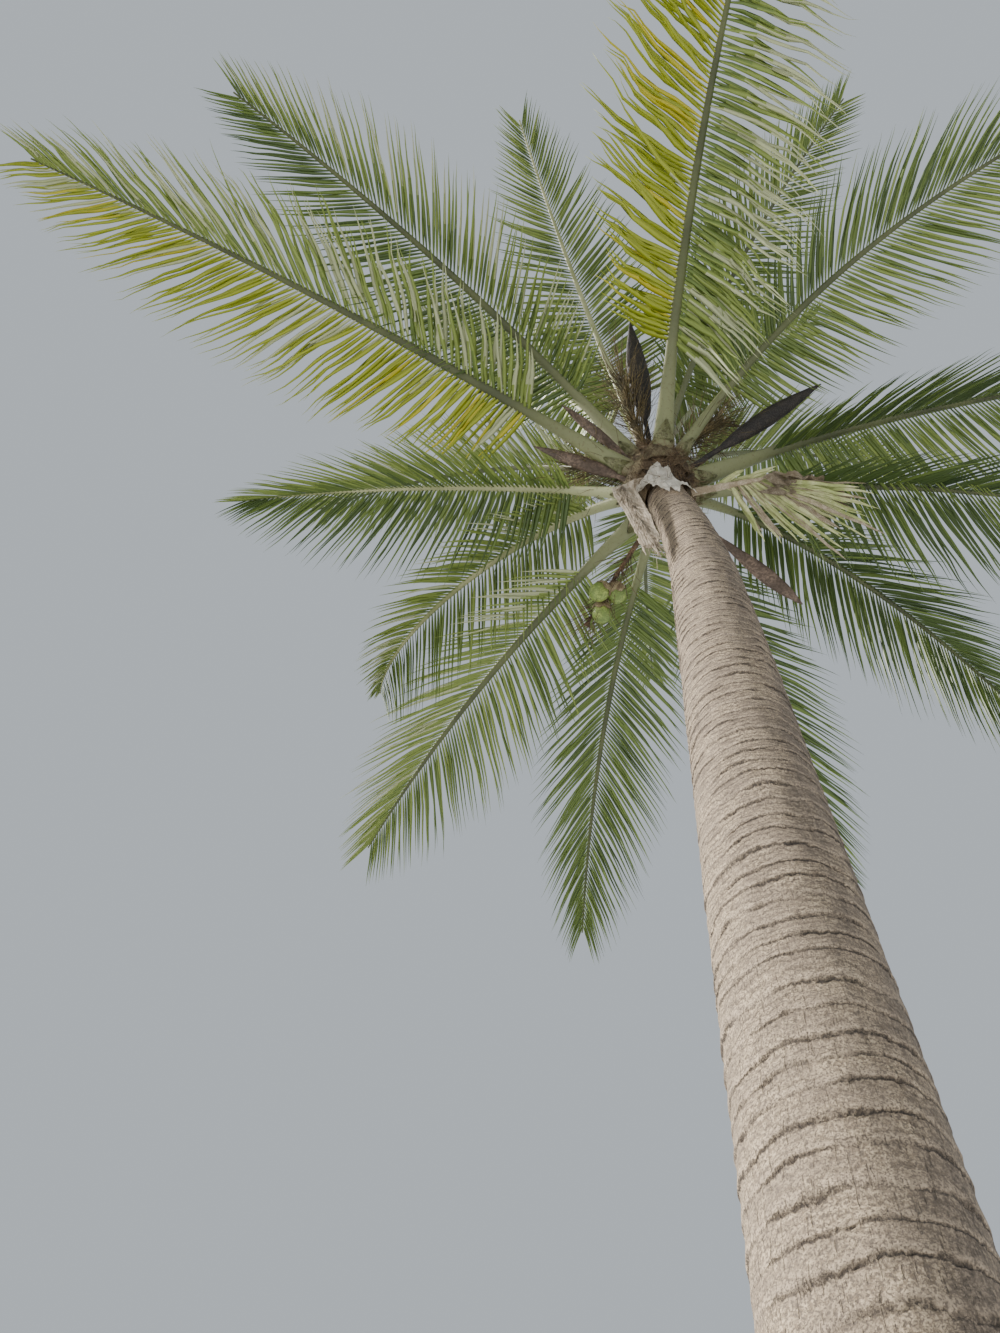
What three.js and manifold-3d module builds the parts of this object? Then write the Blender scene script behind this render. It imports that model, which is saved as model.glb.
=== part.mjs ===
// A coconut palm: a leaning trunk with a swollen foot, a fibrous crown heart, arching fronds, dry
// flower pods with their brushes, a bunch of young nuts and the dead leaf bases that hang on.
// Millimetres and degrees, +Z up. The origin is the middle of the flat cut at ground level.
import * as THREE from "three";
import { mergeVertices } from "three/addons/utils/BufferGeometryUtils.js";
import Module from "manifold-3d";

const wasm = await Module();
wasm.setup();

// Clear distance between neighbouring solids
const GAP = 0.3;

// Trunk: its middle line leans evenly and turns upright under the crown
const TRUNK_HEIGHT = 6200;
const LEAN_X = 0.097;
const LEAN_Y = 0.032;
const TURN_HEIGHT = 5000;
const TURN_LENGTH = 1350;
const TURN_OFFSET = 118;
const TRUNK_SIDES = 28;
// Height and radius of the trunk, from the flared foot to the slim neck
const TRUNK_PROFILE = [
  [0, 262],
  [70, 250],
  [200, 222],
  [450, 204],
  [900, 195],
  [1600, 189],
  [2400, 176],
  [3300, 163],
  [4200, 149],
  [5000, 133],
  [5600, 114],
  [6000, 101],
  [TRUNK_HEIGHT, 98],
];

// Crown heart: the bundle of clasping leaf bases on the neck, as height above the neck and radius
const HEART_SIDES = 20;
const HEART_WIDEST = 156;
const HEART_PROFILE = [
  [0, 98],
  [50, 122],
  [130, 146],
  [260, HEART_WIDEST],
  [400, 146],
  [520, 122],
  [620, 90],
  [700, 52],
  [730, 24],
];

// Arching limbs: how late the droop comes, and the number of points on the path
const DROOP_POWER = 1.4;
const PATH_STEPS = 48;
const LIMB_SIDES = 6;

// Frond rib: a flattened limb that tapers from its clasping base almost to a point
const RIB_STEPS = 8;
const RIB_STEPS_FEWEST = 4;
const RIB_FLATNESS = 0.6;
const RIB_TIP_WIDTH = 13;
const RIB_TAPER_POWER = 0.85;
const RIB_BASE_FLARE = 0.25;
const RIB_BASE_SHARE = 0.1;

// Leaflets: ridged kites in pairs, longest a little below the middle of the frond
const PETIOLE_SHARE = 0.22;
const LAST_LEAF_SHARE = 0.97;
const END_CLEARANCE_SHARE = 0.02;
const PAIR_SPACING = 228;
const LEFT_LEAF_OFFSET = 0.3;
const LEAF_WIDTH_SHARE = 0.17;
const LEAF_THICKNESS_SHARE = 0.0135;
const LEAF_ROOT_DEPTH = 0.15;
const LEAF_ARCH = 0.035;
const LEAF_ANGLE_LOW = 74;
const LEAF_ANGLE_TIP = 26;
const BLADE_WIDEST_AT = 0.26;
// Shortening and extra hang that are tried in turn for a leaflet that would touch another frond
const LEAF_TRIES = [
  [1, 0],
  [1, 14],
  [1, -14],
  [0.75, 0],
  [0.75, 24],
  [0.55, -20],
];

// Fronds by bearing from +X towards +Y, launch angle above the horizon, droop to the tip, sideways
// sweep, length, height of the base above the neck, width of the leaf stalk, twist of the blade,
// hang of the leaflets below the blade's plane, pull of gravity on them, leaflet length and share
// of the length at which a strongly bent frond is divided
const FRONDS = {
  near_big: [280, 46, 60, 0, 3800, 270, 92, 14, 10, 0.2, 680, 0],
  near_slim: [307, 64, 50, 0, 3200, 400, 58, 8, 4, 0.05, 520, 0],
  near_right: [318, 46, 55, 14, 3600, 290, 66, -8, 6, 0.15, 600, 0],
  right_thick: [353, 36, 48, 0, 3500, 150, 100, 10, 24, 0.45, 640, 0],
  right_level: [6, 31, 58, 0, 3300, 75, 66, 6, 26, 0.5, 600, 0],
  far_right: [27, 44, 115, 10, 3100, 130, 66, 0, 24, 0.5, 600, 0.52],
  far_hidden: [62, 38, 84, 0, 3200, 130, 66, 0, 16, 0.35, 580, 0.55],
  far_middle: [96, 30, 75, 0, 3100, 90, 62, 0, 16, 0.3, 580, 0.55],
  far_left_thick: [124, 26, 48, 0, 3100, 100, 84, -6, 10, 0.2, 620, 0],
  left_drooping: [146, 46, 146, 0, 2400, 170, 74, 0, 16, 0.25, 500, 0.5],
  left_level: [170, 37, 46, 6, 2500, 80, 66, 6, 20, 0.4, 540, 0],
  left_long: [202, 35, 52, 5, 3800, 190, 84, 0, 8, 0.25, 640, 0],
  left_dark: [220, 44, 62, -2, 3150, 300, 74, 20, 10, 0.2, 580, 0],
  near_upright: [244, 70, 45, 6, 3000, 390, 56, 0, -6, 0.05, 540, 0],
  young_far: [80, 62, 55, 0, 3000, 360, 56, 0, 0, 0.08, 520, 0],
  young_left: [160, 62, 60, 0, 3000, 350, 56, 0, 0, 0.08, 520, 0],
  young_right: [15, 64, 55, 0, 3000, 390, 56, 0, 0, 0.08, 520, 0],
  young_back: [112, 75, 30, 0, 2600, 500, 50, 0, -12, 0, 460, 0],
  young_side: [342, 72, 40, 0, 2700, 480, 50, 0, -10, 0, 460, 0],
  young_west: [200, 72, 40, 0, 2700, 480, 50, 0, -10, 0, 460, 0],
};

// Unopened spear leaf in the middle of the crown
const SPEAR = { bearing: 240, launch: 86, droop: 6, length: 2250, rise: 600, width: 58 };
const SPEAR_TIP_WIDTH = 8;
const SPEAR_POINT_SHARE = 0.42;
const SPEAR_SWELL = 0.3;
const SPEAR_FLATNESS = 0.8;

// Dry flower pods: bearing, launch angle, droop, length, height of the base, greatest width
const PODS = {
  pod_upper: [262, 50, 12, 950, 450, 110],
  pod_right: [340, 38, 4, 1290, 210, 84],
  pod_low_right: [38, 6, 6, 1000, 70, 66],
  pod_left: [190, 40, 10, 800, 104, 62],
  pod_upper_left: [212, 42, 10, 730, 245, 56],
};
const POD_STEPS = 12;
const POD_STALK_SHARE = 0.36;
const POD_STALK_WIDTH = 30;
const POD_STALK_TAPER = 0.75;
const POD_FLATNESS = 0.5;
const POD_BELLY_POWER = 0.75;
const POD_FULLNESS = 0.9;

// Flower brushes: bearing, launch angle, length of the stalk, height of the base, length of a spike
const BRUSHES = {
  brush_upper: [248, 54, 620, 400, 280],
  brush_right: [333, 55, 640, 330, 280],
  brush_left: [183, 44, 480, 240, 260],
};
const BRUSH_DROOP = 20;
const BRUSH_STALK_WIDTH = 26;
const BRUSH_SPIKES = 9;
const BRUSH_FIRST_SPIKE = 0.58;
const BRUSH_LAST_SPIKE = 0.97;
const SPIKE_THICKNESS = 13;
const SPIKE_SPREAD = 30;
const SPIKE_DEPTH = 3;
const SPIKE_TURN = 137.5;

// Bunch of young nuts on its own stalk
const BUNCH = { bearing: 120, launch: 0, droop: 14, length: 760, rise: 24, width: 32 };
const BUNCH_STALK_TAPER = 0.55;
const NUT_RADIUS = 50;
const NUT_STRETCH = 1.15;
const NUT_SIDES = 7;
const NUT_RINGS = 5;
// Nuts by share of the stalk, angle round it and distance of the middle from it
const NUTS = [
  [0.7, 200, 46],
  [0.74, 320, 50],
  [0.8, 90, 46],
  [0.86, 235, 44],
];

// Broken frond: a stub of its stalk and the fan of stiff leaflets that still hangs on it
const BROKEN = { bearing: -16, launch: -9, droop: 8, length: 480, rise: 50, width: 58 };
const BROKEN_TAPER = 0.6;
const BROKEN_FLATNESS = 0.5;
const FAN_LEAF_WIDTH = 62;
const FAN_LEAF_THICKNESS = 9;
const FAN_ROOT_DEPTH = 0.2;
// Leaflets of the fan by share of the stub, turn to the side, dip below it and length
const FAN = [
  [0.66, 66, 20, 300],
  [0.72, 58, 20, 380],
  [0.78, 51, 18, 460],
  [0.84, 44, 16, 520],
  [0.89, 38, 14, 560],
  [0.93, 31, 14, 560],
  [0.96, 25, 12, 540],
  [0.98, 18, 12, 500],
  [0.98, 11, 10, 440],
];

// Dead leaf base that hangs down beside the neck: height above the neck and distance from the middle
const DEAD_BASE_BEARING = 199;
const DEAD_BASE_STATIONS = [
  [62, 70],
  [48, 190],
  [-50, 243],
  [-380, 230],
  [-820, 205],
];
const DEAD_BASE_STEPS = 9;
const DEAD_BASE_WIDTH = 130;
const DEAD_BASE_TAPER = 0.35;
const DEAD_BASE_THICKNESS = 22;
const DEAD_TIPS_AT = 0.93;
const DEAD_TIP_WIDTH = 34;
const DEAD_TIP_THICKNESS = 12;
// Frayed tips by offset to the side and length
const DEAD_TIPS = [
  [-30, 190],
  [0, 250],
  [28, 170],
];

// Torn pale sheath that wraps the front of the heart: the bearing it faces, and its ragged outline
// as distance sideways and height above the neck
const SHEATH_BEARING = 268;
const SHEATH_THICKNESS = 7;
const SHEATH_OUTLINE = [
  [-84, 96],
  [-66, 62],
  [-88, 24],
  [-106, -22],
  [-84, -70],
  [-58, -128],
  [-34, -196],
  [-14, -160],
  [6, -236],
  [22, -150],
  [60, -128],
  [92, -168],
  [74, -92],
  [40, -40],
  [24, 10],
  [34, 70],
  [20, 112],
  [-30, 120],
];

// Space that the sheath lies round: height above the neck and radius. It hangs clear of the trunk.
const SHEATH_SPACE = [
  [-260, 118],
  [-60, 114],
  [20, 112],
  [50, 122],
  [130, 146],
  [260, 156],
];

// Cut stub of an old leaf stalk
const STUB = { bearing: 42, launch: -8, length: 330, rise: 46, width: 68, thickness: 42 };

const BARK = { color: 0xb5a58f, roughness: 0.9, metalness: 0 };
const FIBRE = { color: 0x4a3a2b, roughness: 1, metalness: 0 };
const FROND_GREEN = { color: 0x5d7a33, roughness: 0.55, metalness: 0 };
const SPEAR_GREEN = { color: 0xa6b868, roughness: 0.5, metalness: 0 };
const POD_BROWN = { color: 0x2e241d, roughness: 0.8, metalness: 0 };
const BRUSH_TAN = { color: 0x8a6f45, roughness: 0.9, metalness: 0 };
const NUT_GREEN = { color: 0x7f9444, roughness: 0.5, metalness: 0 };
const DEAD_TAN = { color: 0x9c8f7c, roughness: 0.95, metalness: 0 };
const DEAD_PALE = { color: 0xb9b3a6, roughness: 0.95, metalness: 0 };

const radians = THREE.MathUtils.degToRad;
const lerp = THREE.MathUtils.lerp;

// Middle of the trunk, or of the heart above it, at a height
function stemMiddle(height) {
  const level = Math.min(height, TRUNK_HEIGHT);
  const turned = Math.max(0, level - TURN_HEIGHT);
  const x = LEAN_X * level - TURN_OFFSET * (turned / TURN_LENGTH) ** 2;
  return new THREE.Vector3(x, LEAN_Y * level, height);
}

function heartPoint(rise) {
  return stemMiddle(TRUNK_HEIGHT + rise);
}

// Closed geometry with its shared corners merged, as a solid for joining and cutting
function solidOf(geometry) {
  const plain = geometry.clone();
  plain.deleteAttribute("normal");
  plain.deleteAttribute("uv");
  const merged = mergeVertices(plain, 1e-3);
  return new wasm.Manifold(
    new wasm.Mesh({
      numProp: 3,
      vertProperties: new Float32Array(merged.attributes.position.array),
      triVerts: new Uint32Array(merged.index.array),
    }),
  );
}

// The same for a bent geometry, whose faces may have come out turned inwards
function outwardSolidOf(geometry) {
  const solid = solidOf(geometry);
  if (solid.volume() > 0) return solid;
  const index = geometry.index.array;
  for (let i = 0; i < index.length; i += 3) {
    [index[i + 1], index[i + 2]] = [index[i + 2], index[i + 1]];
  }
  return solidOf(geometry);
}

function largestPiece(solid) {
  return solid.decompose().reduce((a, b) => (a.volume() > b.volume() ? a : b));
}

// Turned solid that follows the stem's middle line. The outset moves its walls out.
function turnedAlongStem(profile, sides, bottom, outset) {
  const top = profile.length - 1;
  const points = [new THREE.Vector2(0, profile[0][0] - outset)];
  profile.forEach(([height, radius], i) => {
    const end = i === 0 ? -outset : i === top ? outset : 0;
    points.push(new THREE.Vector2(radius + outset, height + end));
  });
  points.push(new THREE.Vector2(0, profile[top][0] + outset));
  const geometry = new THREE.LatheGeometry(points, sides);
  geometry.rotateX(Math.PI / 2);
  const place = geometry.attributes.position;
  for (let i = 0; i < place.count; i++) {
    const height = bottom + place.getZ(i);
    const middle = stemMiddle(height);
    place.setXYZ(i, place.getX(i) + middle.x, place.getY(i) + middle.y, height);
  }
  return solidOf(geometry);
}

// Arching path of a frond, pod or stalk, with its direction, side and upward normal
class ArchPath {
  constructor({ bearing, launch, droop = 0, sweep = 0, length, rise, twist = 0 }) {
    const place = heartPoint(rise);
    this.points = [place.clone()];
    this.frames = [];
    this.length = length;
    for (let i = 0; i <= PATH_STEPS; i++) {
      const share = i / PATH_STEPS;
      const climb = radians(launch - droop * share ** DROOP_POWER);
      const heading = radians(bearing + sweep * share);
      const along = new THREE.Vector3(
        Math.cos(climb) * Math.cos(heading),
        Math.cos(climb) * Math.sin(heading),
        Math.sin(climb),
      );
      const side = new THREE.Vector3(-Math.sin(heading), Math.cos(heading), 0);
      side.applyAxisAngle(along, radians(twist) * share);
      this.frames.push({ along, side });
      place.addScaledVector(along, length / PATH_STEPS);
      this.points.push(place.clone());
    }
  }

  at(share) {
    const whole = THREE.MathUtils.clamp(share * PATH_STEPS, 0, PATH_STEPS - 1e-6);
    const i = Math.floor(whole);
    const part = whole - i;
    const point = this.points[i].clone().lerp(this.points[i + 1], part);
    const [before, after] = [this.frames[i], this.frames[i + 1]];
    const along = before.along.clone().lerp(after.along, part).normalize();
    const side = before.side.clone().lerp(after.side, part).normalize();
    const up = new THREE.Vector3().crossVectors(along, side);
    return { point, along, side, up };
  }
}

// Path that hangs down beside the stem, with its flat side towards it
class HangingPath {
  constructor(bearing, stations) {
    const outward = new THREE.Vector3(Math.cos(radians(bearing)), Math.sin(radians(bearing)), 0);
    this.side = new THREE.Vector3(-outward.y, outward.x, 0);
    const places = stations.map(([rise, distance]) =>
      heartPoint(rise).addScaledVector(outward, distance),
    );
    this.curve = new THREE.CatmullRomCurve3(places);
  }

  at(share) {
    const along = this.curve.getTangentAt(share);
    const up = new THREE.Vector3().crossVectors(along, this.side).normalize();
    return { point: this.curve.getPointAt(share), along, side: this.side.clone(), up };
  }
}

// Limb along a path between two shares of its length: a cylinder bent to the path, whose width and
// thickness are functions of the share
function limb(path, widthAt, thicknessAt, steps, from = 0, to = 1) {
  const geometry = new THREE.CylinderGeometry(1, 1, 1, LIMB_SIDES, steps);
  const place = geometry.attributes.position;
  for (let i = 0; i < place.count; i++) {
    const share = lerp(from, to, place.getY(i) + 0.5);
    const { point, side, up } = path.at(share);
    point.addScaledVector(side, (place.getX(i) * widthAt(share)) / 2);
    point.addScaledVector(up, (place.getZ(i) * thicknessAt(share)) / 2);
    place.setXYZ(i, point.x, point.y, point.z);
  }
  return outwardSolidOf(geometry);
}

// Ridged blade from its root point to its tip point: a three-sided cone whose base is drawn out to
// the root, with its rim moved up by the arch
function blade(root, along, across, { length, width, thickness, arch = 0 }) {
  const flat = new THREE.Vector3().crossVectors(along, across).normalize();
  const wide = new THREE.Vector3().crossVectors(flat, along).normalize();
  const rimWidth = Math.sqrt(3);
  const rimHeight = 1.5;
  const geometry = new THREE.ConeGeometry(1, 1, 3);
  const place = geometry.attributes.position;
  for (let i = 0; i < place.count; i++) {
    const [x, y, z] = [place.getX(i), place.getY(i), place.getZ(i)];
    const isTip = y > 0;
    const isRim = Math.hypot(x, z) > 0.5;
    const share = isTip ? 1 : isRim ? BLADE_WIDEST_AT : 0;
    const point = root.clone().addScaledVector(along, share * length);
    point.addScaledVector(wide, (x * width) / rimWidth);
    point.addScaledVector(flat, (z * thickness) / rimHeight + (isRim ? arch * length : 0));
    place.setXYZ(i, point.x, point.y, point.z);
  }
  return outwardSolidOf(geometry);
}

// Solids already in place, which a new leaflet or spike has to stay clear of
const placed = [];

function claim(name, solid) {
  placed.push({ name, solid, box: solid.boundingBox() });
}

function boxesMeet(a, b) {
  return [0, 1, 2].every((k) => a.min[k] < b.max[k] + GAP && b.min[k] < a.max[k] + GAP);
}

function isClear(solid, ownName) {
  const box = solid.boundingBox();
  return placed.every((other) => {
    if (other.name === ownName || !boxesMeet(box, other.box)) return true;
    return other.solid.minGap(solid, 2 * GAP) > GAP;
  });
}

// Named mesh of a finished solid
const palm = new THREE.Group();

function add(name, solid, finish) {
  const made = solid.getMesh();
  const geometry = new THREE.BufferGeometry();
  geometry.setAttribute("position", new THREE.BufferAttribute(made.vertProperties, 3));
  geometry.setIndex(new THREE.BufferAttribute(made.triVerts, 1));
  geometry.computeVertexNormals();
  const mesh = new THREE.Mesh(geometry, new THREE.MeshStandardMaterial(finish));
  mesh.name = name;
  palm.add(mesh);
  claim(name, solid);
}

// Trunk and heart
const heartBottom = TRUNK_HEIGHT + GAP;
const heartSpace = turnedAlongStem(HEART_PROFILE, HEART_SIDES, heartBottom, GAP);
add("trunk", turnedAlongStem(TRUNK_PROFILE, TRUNK_SIDES, 0, 0), BARK);
add("crown_heart", turnedAlongStem(HEART_PROFILE, HEART_SIDES, heartBottom, 0), FIBRE);

function outsideHeart(solid) {
  return largestPiece(solid.subtract(heartSpace));
}

// Dry flower pod, boat-shaped on a short stalk
function pod([bearing, launch, droop, length, rise, width]) {
  const path = new ArchPath({ bearing, launch, droop, length, rise });
  const widthAt = (share) => {
    const hull = Math.max(0, (share - POD_STALK_SHARE) / (1 - POD_STALK_SHARE));
    const belly = Math.sin(Math.PI * hull ** POD_BELLY_POWER) ** POD_FULLNESS;
    return POD_STALK_WIDTH * (1 - POD_STALK_TAPER * share) + width * belly;
  };
  return outsideHeart(limb(path, widthAt, (share) => POD_FLATNESS * widthAt(share), POD_STEPS));
}

Object.entries(PODS).forEach(([name, spec]) => add(name, pod(spec), POD_BROWN));

// Spear leaf, rounder than a rib and drawn out to a long point
function spear() {
  const widthAt = (share) => {
    const point = Math.min(1, (1 - share) / SPEAR_POINT_SHARE);
    const swell = 1 - SPEAR_SWELL + SPEAR_SWELL * Math.sin(Math.PI * share);
    return SPEAR_TIP_WIDTH + SPEAR.width * point * swell;
  };
  const thicknessAt = (share) => SPEAR_FLATNESS * widthAt(share);
  return outsideHeart(limb(new ArchPath(SPEAR), widthAt, thicknessAt, RIB_STEPS));
}

add("spear_leaf", spear(), SPEAR_GREEN);

// Bunch of nuts, each sunk a little into the side of the stalk
function nutBunch() {
  const path = new ArchPath(BUNCH);
  const widthAt = (share) => BUNCH.width * (1 - BUNCH_STALK_TAPER * share);
  let solid = outsideHeart(limb(path, widthAt, widthAt, RIB_STEPS_FEWEST));
  const upright = new THREE.Vector3(0, 1, 0);
  NUTS.forEach(([share, angle, distance]) => {
    const { point, along, side, up } = path.at(share);
    point.addScaledVector(side, distance * Math.cos(radians(angle)));
    point.addScaledVector(up, distance * Math.sin(radians(angle)));
    const nut = new THREE.SphereGeometry(NUT_RADIUS, NUT_SIDES, NUT_RINGS);
    nut.scale(1, NUT_STRETCH, 1);
    nut.applyQuaternion(new THREE.Quaternion().setFromUnitVectors(upright, along));
    nut.translate(point.x, point.y, point.z);
    solid = solid.add(solidOf(nut));
  });
  return solid;
}

add("nut_bunch", nutBunch(), NUT_GREEN);

// Broken frond: the fan's leaflets are fused to the stub where they leave it
function brokenFrond() {
  const path = new ArchPath(BROKEN);
  const widthAt = (share) => BROKEN.width * (1 - BROKEN_TAPER * share);
  const thicknessAt = (share) => BROKEN_FLATNESS * widthAt(share);
  const size = { width: FAN_LEAF_WIDTH, thickness: FAN_LEAF_THICKNESS, arch: LEAF_ARCH };
  let solid = outsideHeart(limb(path, widthAt, thicknessAt, RIB_STEPS_FEWEST));
  FAN.forEach(([share, turn, dip, length]) => {
    const { point, along, side, up } = path.at(share);
    const direction = along.clone().multiplyScalar(Math.cos(radians(turn)));
    direction.addScaledVector(side, Math.sin(radians(turn)));
    direction.addScaledVector(up, -Math.sin(radians(dip)));
    direction.normalize();
    const root = point.addScaledVector(direction, -FAN_ROOT_DEPTH * widthAt(share));
    const across = new THREE.Vector3().crossVectors(up, direction);
    solid = solid.add(blade(root, direction, across, { ...size, length }));
  });
  return solid;
}

add("broken_frond", brokenFrond(), DEAD_PALE);

// Dead leaf base: a hanging strip that frays into three tips
function deadBase() {
  const path = new HangingPath(DEAD_BASE_BEARING, DEAD_BASE_STATIONS);
  const widthAt = (share) => DEAD_BASE_WIDTH * (1 - DEAD_BASE_TAPER * share);
  let solid = outsideHeart(limb(path, widthAt, () => DEAD_BASE_THICKNESS, DEAD_BASE_STEPS));
  DEAD_TIPS.forEach(([offset, length]) => {
    const { point, along, side } = path.at(DEAD_TIPS_AT);
    point.addScaledVector(side, offset);
    const slant = along.clone().addScaledVector(side, offset / length / 2).normalize();
    const size = { length, width: DEAD_TIP_WIDTH, thickness: DEAD_TIP_THICKNESS };
    solid = solid.add(blade(point, slant, side, size));
  });
  return solid;
}

add("dead_leaf_base", deadBase(), DEAD_TAN);

// Torn sheath: a ragged piece of a shell that lies round the heart and hangs before the trunk
function tornSheath() {
  const outside = turnedAlongStem(SHEATH_SPACE, HEART_SIDES, heartBottom, SHEATH_THICKNESS);
  const inside = turnedAlongStem(SHEATH_SPACE, HEART_SIDES, heartBottom, GAP);
  const outline = new THREE.Shape(SHEATH_OUTLINE.map(([x, y]) => new THREE.Vector2(x, y)));
  const depth = 2 * HEART_WIDEST;
  const cutter = new THREE.ExtrudeGeometry(outline, { depth, bevelEnabled: false });
  cutter.rotateX(Math.PI / 2);
  cutter.rotateZ(radians(SHEATH_BEARING + 90));
  const middle = heartPoint(0);
  cutter.translate(middle.x, middle.y, middle.z);
  return largestPiece(outside.subtract(inside).subtract(heartSpace).intersect(solidOf(cutter)));
}

add("torn_sheath", tornSheath(), DEAD_PALE);

// Cut stub, of even thickness to its blunt end
const stub = limb(new ArchPath(STUB), () => STUB.width, () => STUB.thickness, 2);
add("cut_stub", outsideHeart(stub), FIBRE);

// Rib of a frond between two shares of its length. Its leaflets are placed on its straight steps.
class Rib {
  constructor(name, path, girth, from, to) {
    this.name = name;
    this.path = path;
    this.girth = girth;
    this.from = from;
    this.to = to;
    this.steps = Math.max(RIB_STEPS_FEWEST, Math.round(RIB_STEPS * (to - from)));
    const widthAt = (share) => this.widthAt(share);
    const thicknessAt = (share) => RIB_FLATNESS * this.widthAt(share);
    const whole = limb(path, widthAt, thicknessAt, this.steps, from, to);
    this.solid = from === 0 ? outsideHeart(whole) : whole;
  }

  widthAt(share) {
    const flare = 1 + RIB_BASE_FLARE * Math.max(0, 1 - share / RIB_BASE_SHARE);
    const taper = Math.max(0, 1 - share) ** RIB_TAPER_POWER;
    return RIB_TIP_WIDTH + (this.girth - RIB_TIP_WIDTH) * taper * flare;
  }

  pointAt(share) {
    const whole = ((share - this.from) / (this.to - this.from)) * this.steps;
    const i = Math.min(this.steps - 1, Math.floor(whole));
    const [before, after] = [i, i + 1].map((step) => {
      return this.path.at(lerp(this.from, this.to, step / this.steps)).point;
    });
    return before.lerp(after, whole - i);
  }
}

const fronds = [];

Object.entries(FRONDS).forEach(([name, spec]) => {
  const [bearing, launch, droop, sweep, length, rise, girth, twist] = spec;
  const [hang, gravity, leafLength, divideAt] = spec.slice(8);
  const path = new ArchPath({ bearing, launch, droop, sweep, length, rise, twist });
  const half = GAP / 2 / length;
  const spans = { "": [0, 1] };
  if (divideAt) {
    delete spans[""];
    spans._inner = [0, divideAt - half];
    spans._outer = [divideAt + half, 1];
  }
  Object.entries(spans).forEach(([suffix, [from, to]]) => {
    const rib = new Rib("frond_" + name + suffix, path, girth, from, to);
    claim(rib.name, rib.solid);
    fronds.push({ rib, hang, gravity, leafLength });
  });
});

// Flower brush: spikes leave the stalk all round it, and one that would touch a rib is left out
function brush(name, [bearing, launch, length, rise, spikeLength]) {
  const path = new ArchPath({ bearing, launch, droop: BRUSH_DROOP, length, rise });
  const widthAt = (share) => BRUSH_STALK_WIDTH * (1 - share / 2);
  const size = { length: spikeLength, width: SPIKE_THICKNESS, thickness: SPIKE_THICKNESS };
  let solid = outsideHeart(limb(path, widthAt, widthAt, RIB_STEPS_FEWEST));
  for (let i = 0; i < BRUSH_SPIKES; i++) {
    const share = lerp(BRUSH_FIRST_SPIKE, BRUSH_LAST_SPIKE, i / (BRUSH_SPIKES - 1));
    const { point, along, side, up } = path.at(share);
    const round = radians(i * SPIKE_TURN);
    const outward = side.multiplyScalar(Math.cos(round)).addScaledVector(up, Math.sin(round));
    const direction = along.clone().multiplyScalar(Math.cos(radians(SPIKE_SPREAD)));
    direction.addScaledVector(outward, Math.sin(radians(SPIKE_SPREAD)));
    const root = point.addScaledVector(direction, -SPIKE_DEPTH);
    const across = new THREE.Vector3().crossVectors(direction, along);
    const spike = blade(root, direction, across, size);
    if (isClear(spike, name)) solid = solid.add(spike);
  }
  return solid;
}

Object.entries(BRUSHES).forEach(([name, spec]) => add(name, brush(name, spec), BRUSH_TAN));

// Leaflet on one hand of a frond, at a share of its length
function leaflet({ rib, hang, gravity, leafLength }, share, hand, shortening, extraHang) {
  const place = (share - PETIOLE_SHARE) / (1 - PETIOLE_SHARE);
  const { along, side, up } = rib.path.at(share);
  const spread = radians(lerp(LEAF_ANGLE_LOW, LEAF_ANGLE_TIP, place));
  const below = radians(hang + extraHang);
  const outward = side.multiplyScalar(hand * Math.cos(below)).addScaledVector(up, -Math.sin(below));
  const direction = along.clone().multiplyScalar(Math.cos(spread));
  direction.addScaledVector(outward, Math.sin(spread));
  direction.z -= gravity;
  direction.normalize();
  const fullness = 0.6 + 2 * place - 2.25 * place ** 2;
  const size = {
    length: leafLength * fullness * shortening,
    width: leafLength * LEAF_WIDTH_SHARE,
    thickness: leafLength * LEAF_THICKNESS_SHARE,
    arch: LEAF_ARCH,
  };
  const root = rib.pointAt(share).addScaledVector(direction, -LEAF_ROOT_DEPTH * rib.widthAt(share));
  return blade(root, direction, along.multiplyScalar(hand), size);
}

// Fronds with the leaflets that are clear of every other frond, in one of the ways tried
fronds.forEach((frond) => {
  const { rib } = frond;
  let solid = rib.solid;
  const first = Math.max(rib.from + END_CLEARANCE_SHARE, PETIOLE_SHARE);
  const last = Math.min(rib.to - END_CLEARANCE_SHARE, LAST_LEAF_SHARE);
  const pairs = Math.round(((last - first) * rib.path.length) / PAIR_SPACING);
  for (let i = 0; i < 2 * pairs; i++) {
    const hand = i % 2 ? 1 : -1;
    const offset = hand > 0 ? LEFT_LEAF_OFFSET : 0;
    const share = lerp(first, last, (Math.floor(i / 2) + offset) / (pairs - 1 + LEFT_LEAF_OFFSET));
    for (const [shortening, extraHang] of LEAF_TRIES) {
      const leaf = leaflet(frond, share, hand, shortening, extraHang);
      if (!isClear(leaf, rib.name)) continue;
      solid = solid.add(leaf);
      break;
    }
  }
  add(rib.name, solid, FROND_GREEN);
});

export default palm;
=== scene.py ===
import math
import random

import bmesh
import bpy
from mathutils import Matrix, Vector, noise


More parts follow.
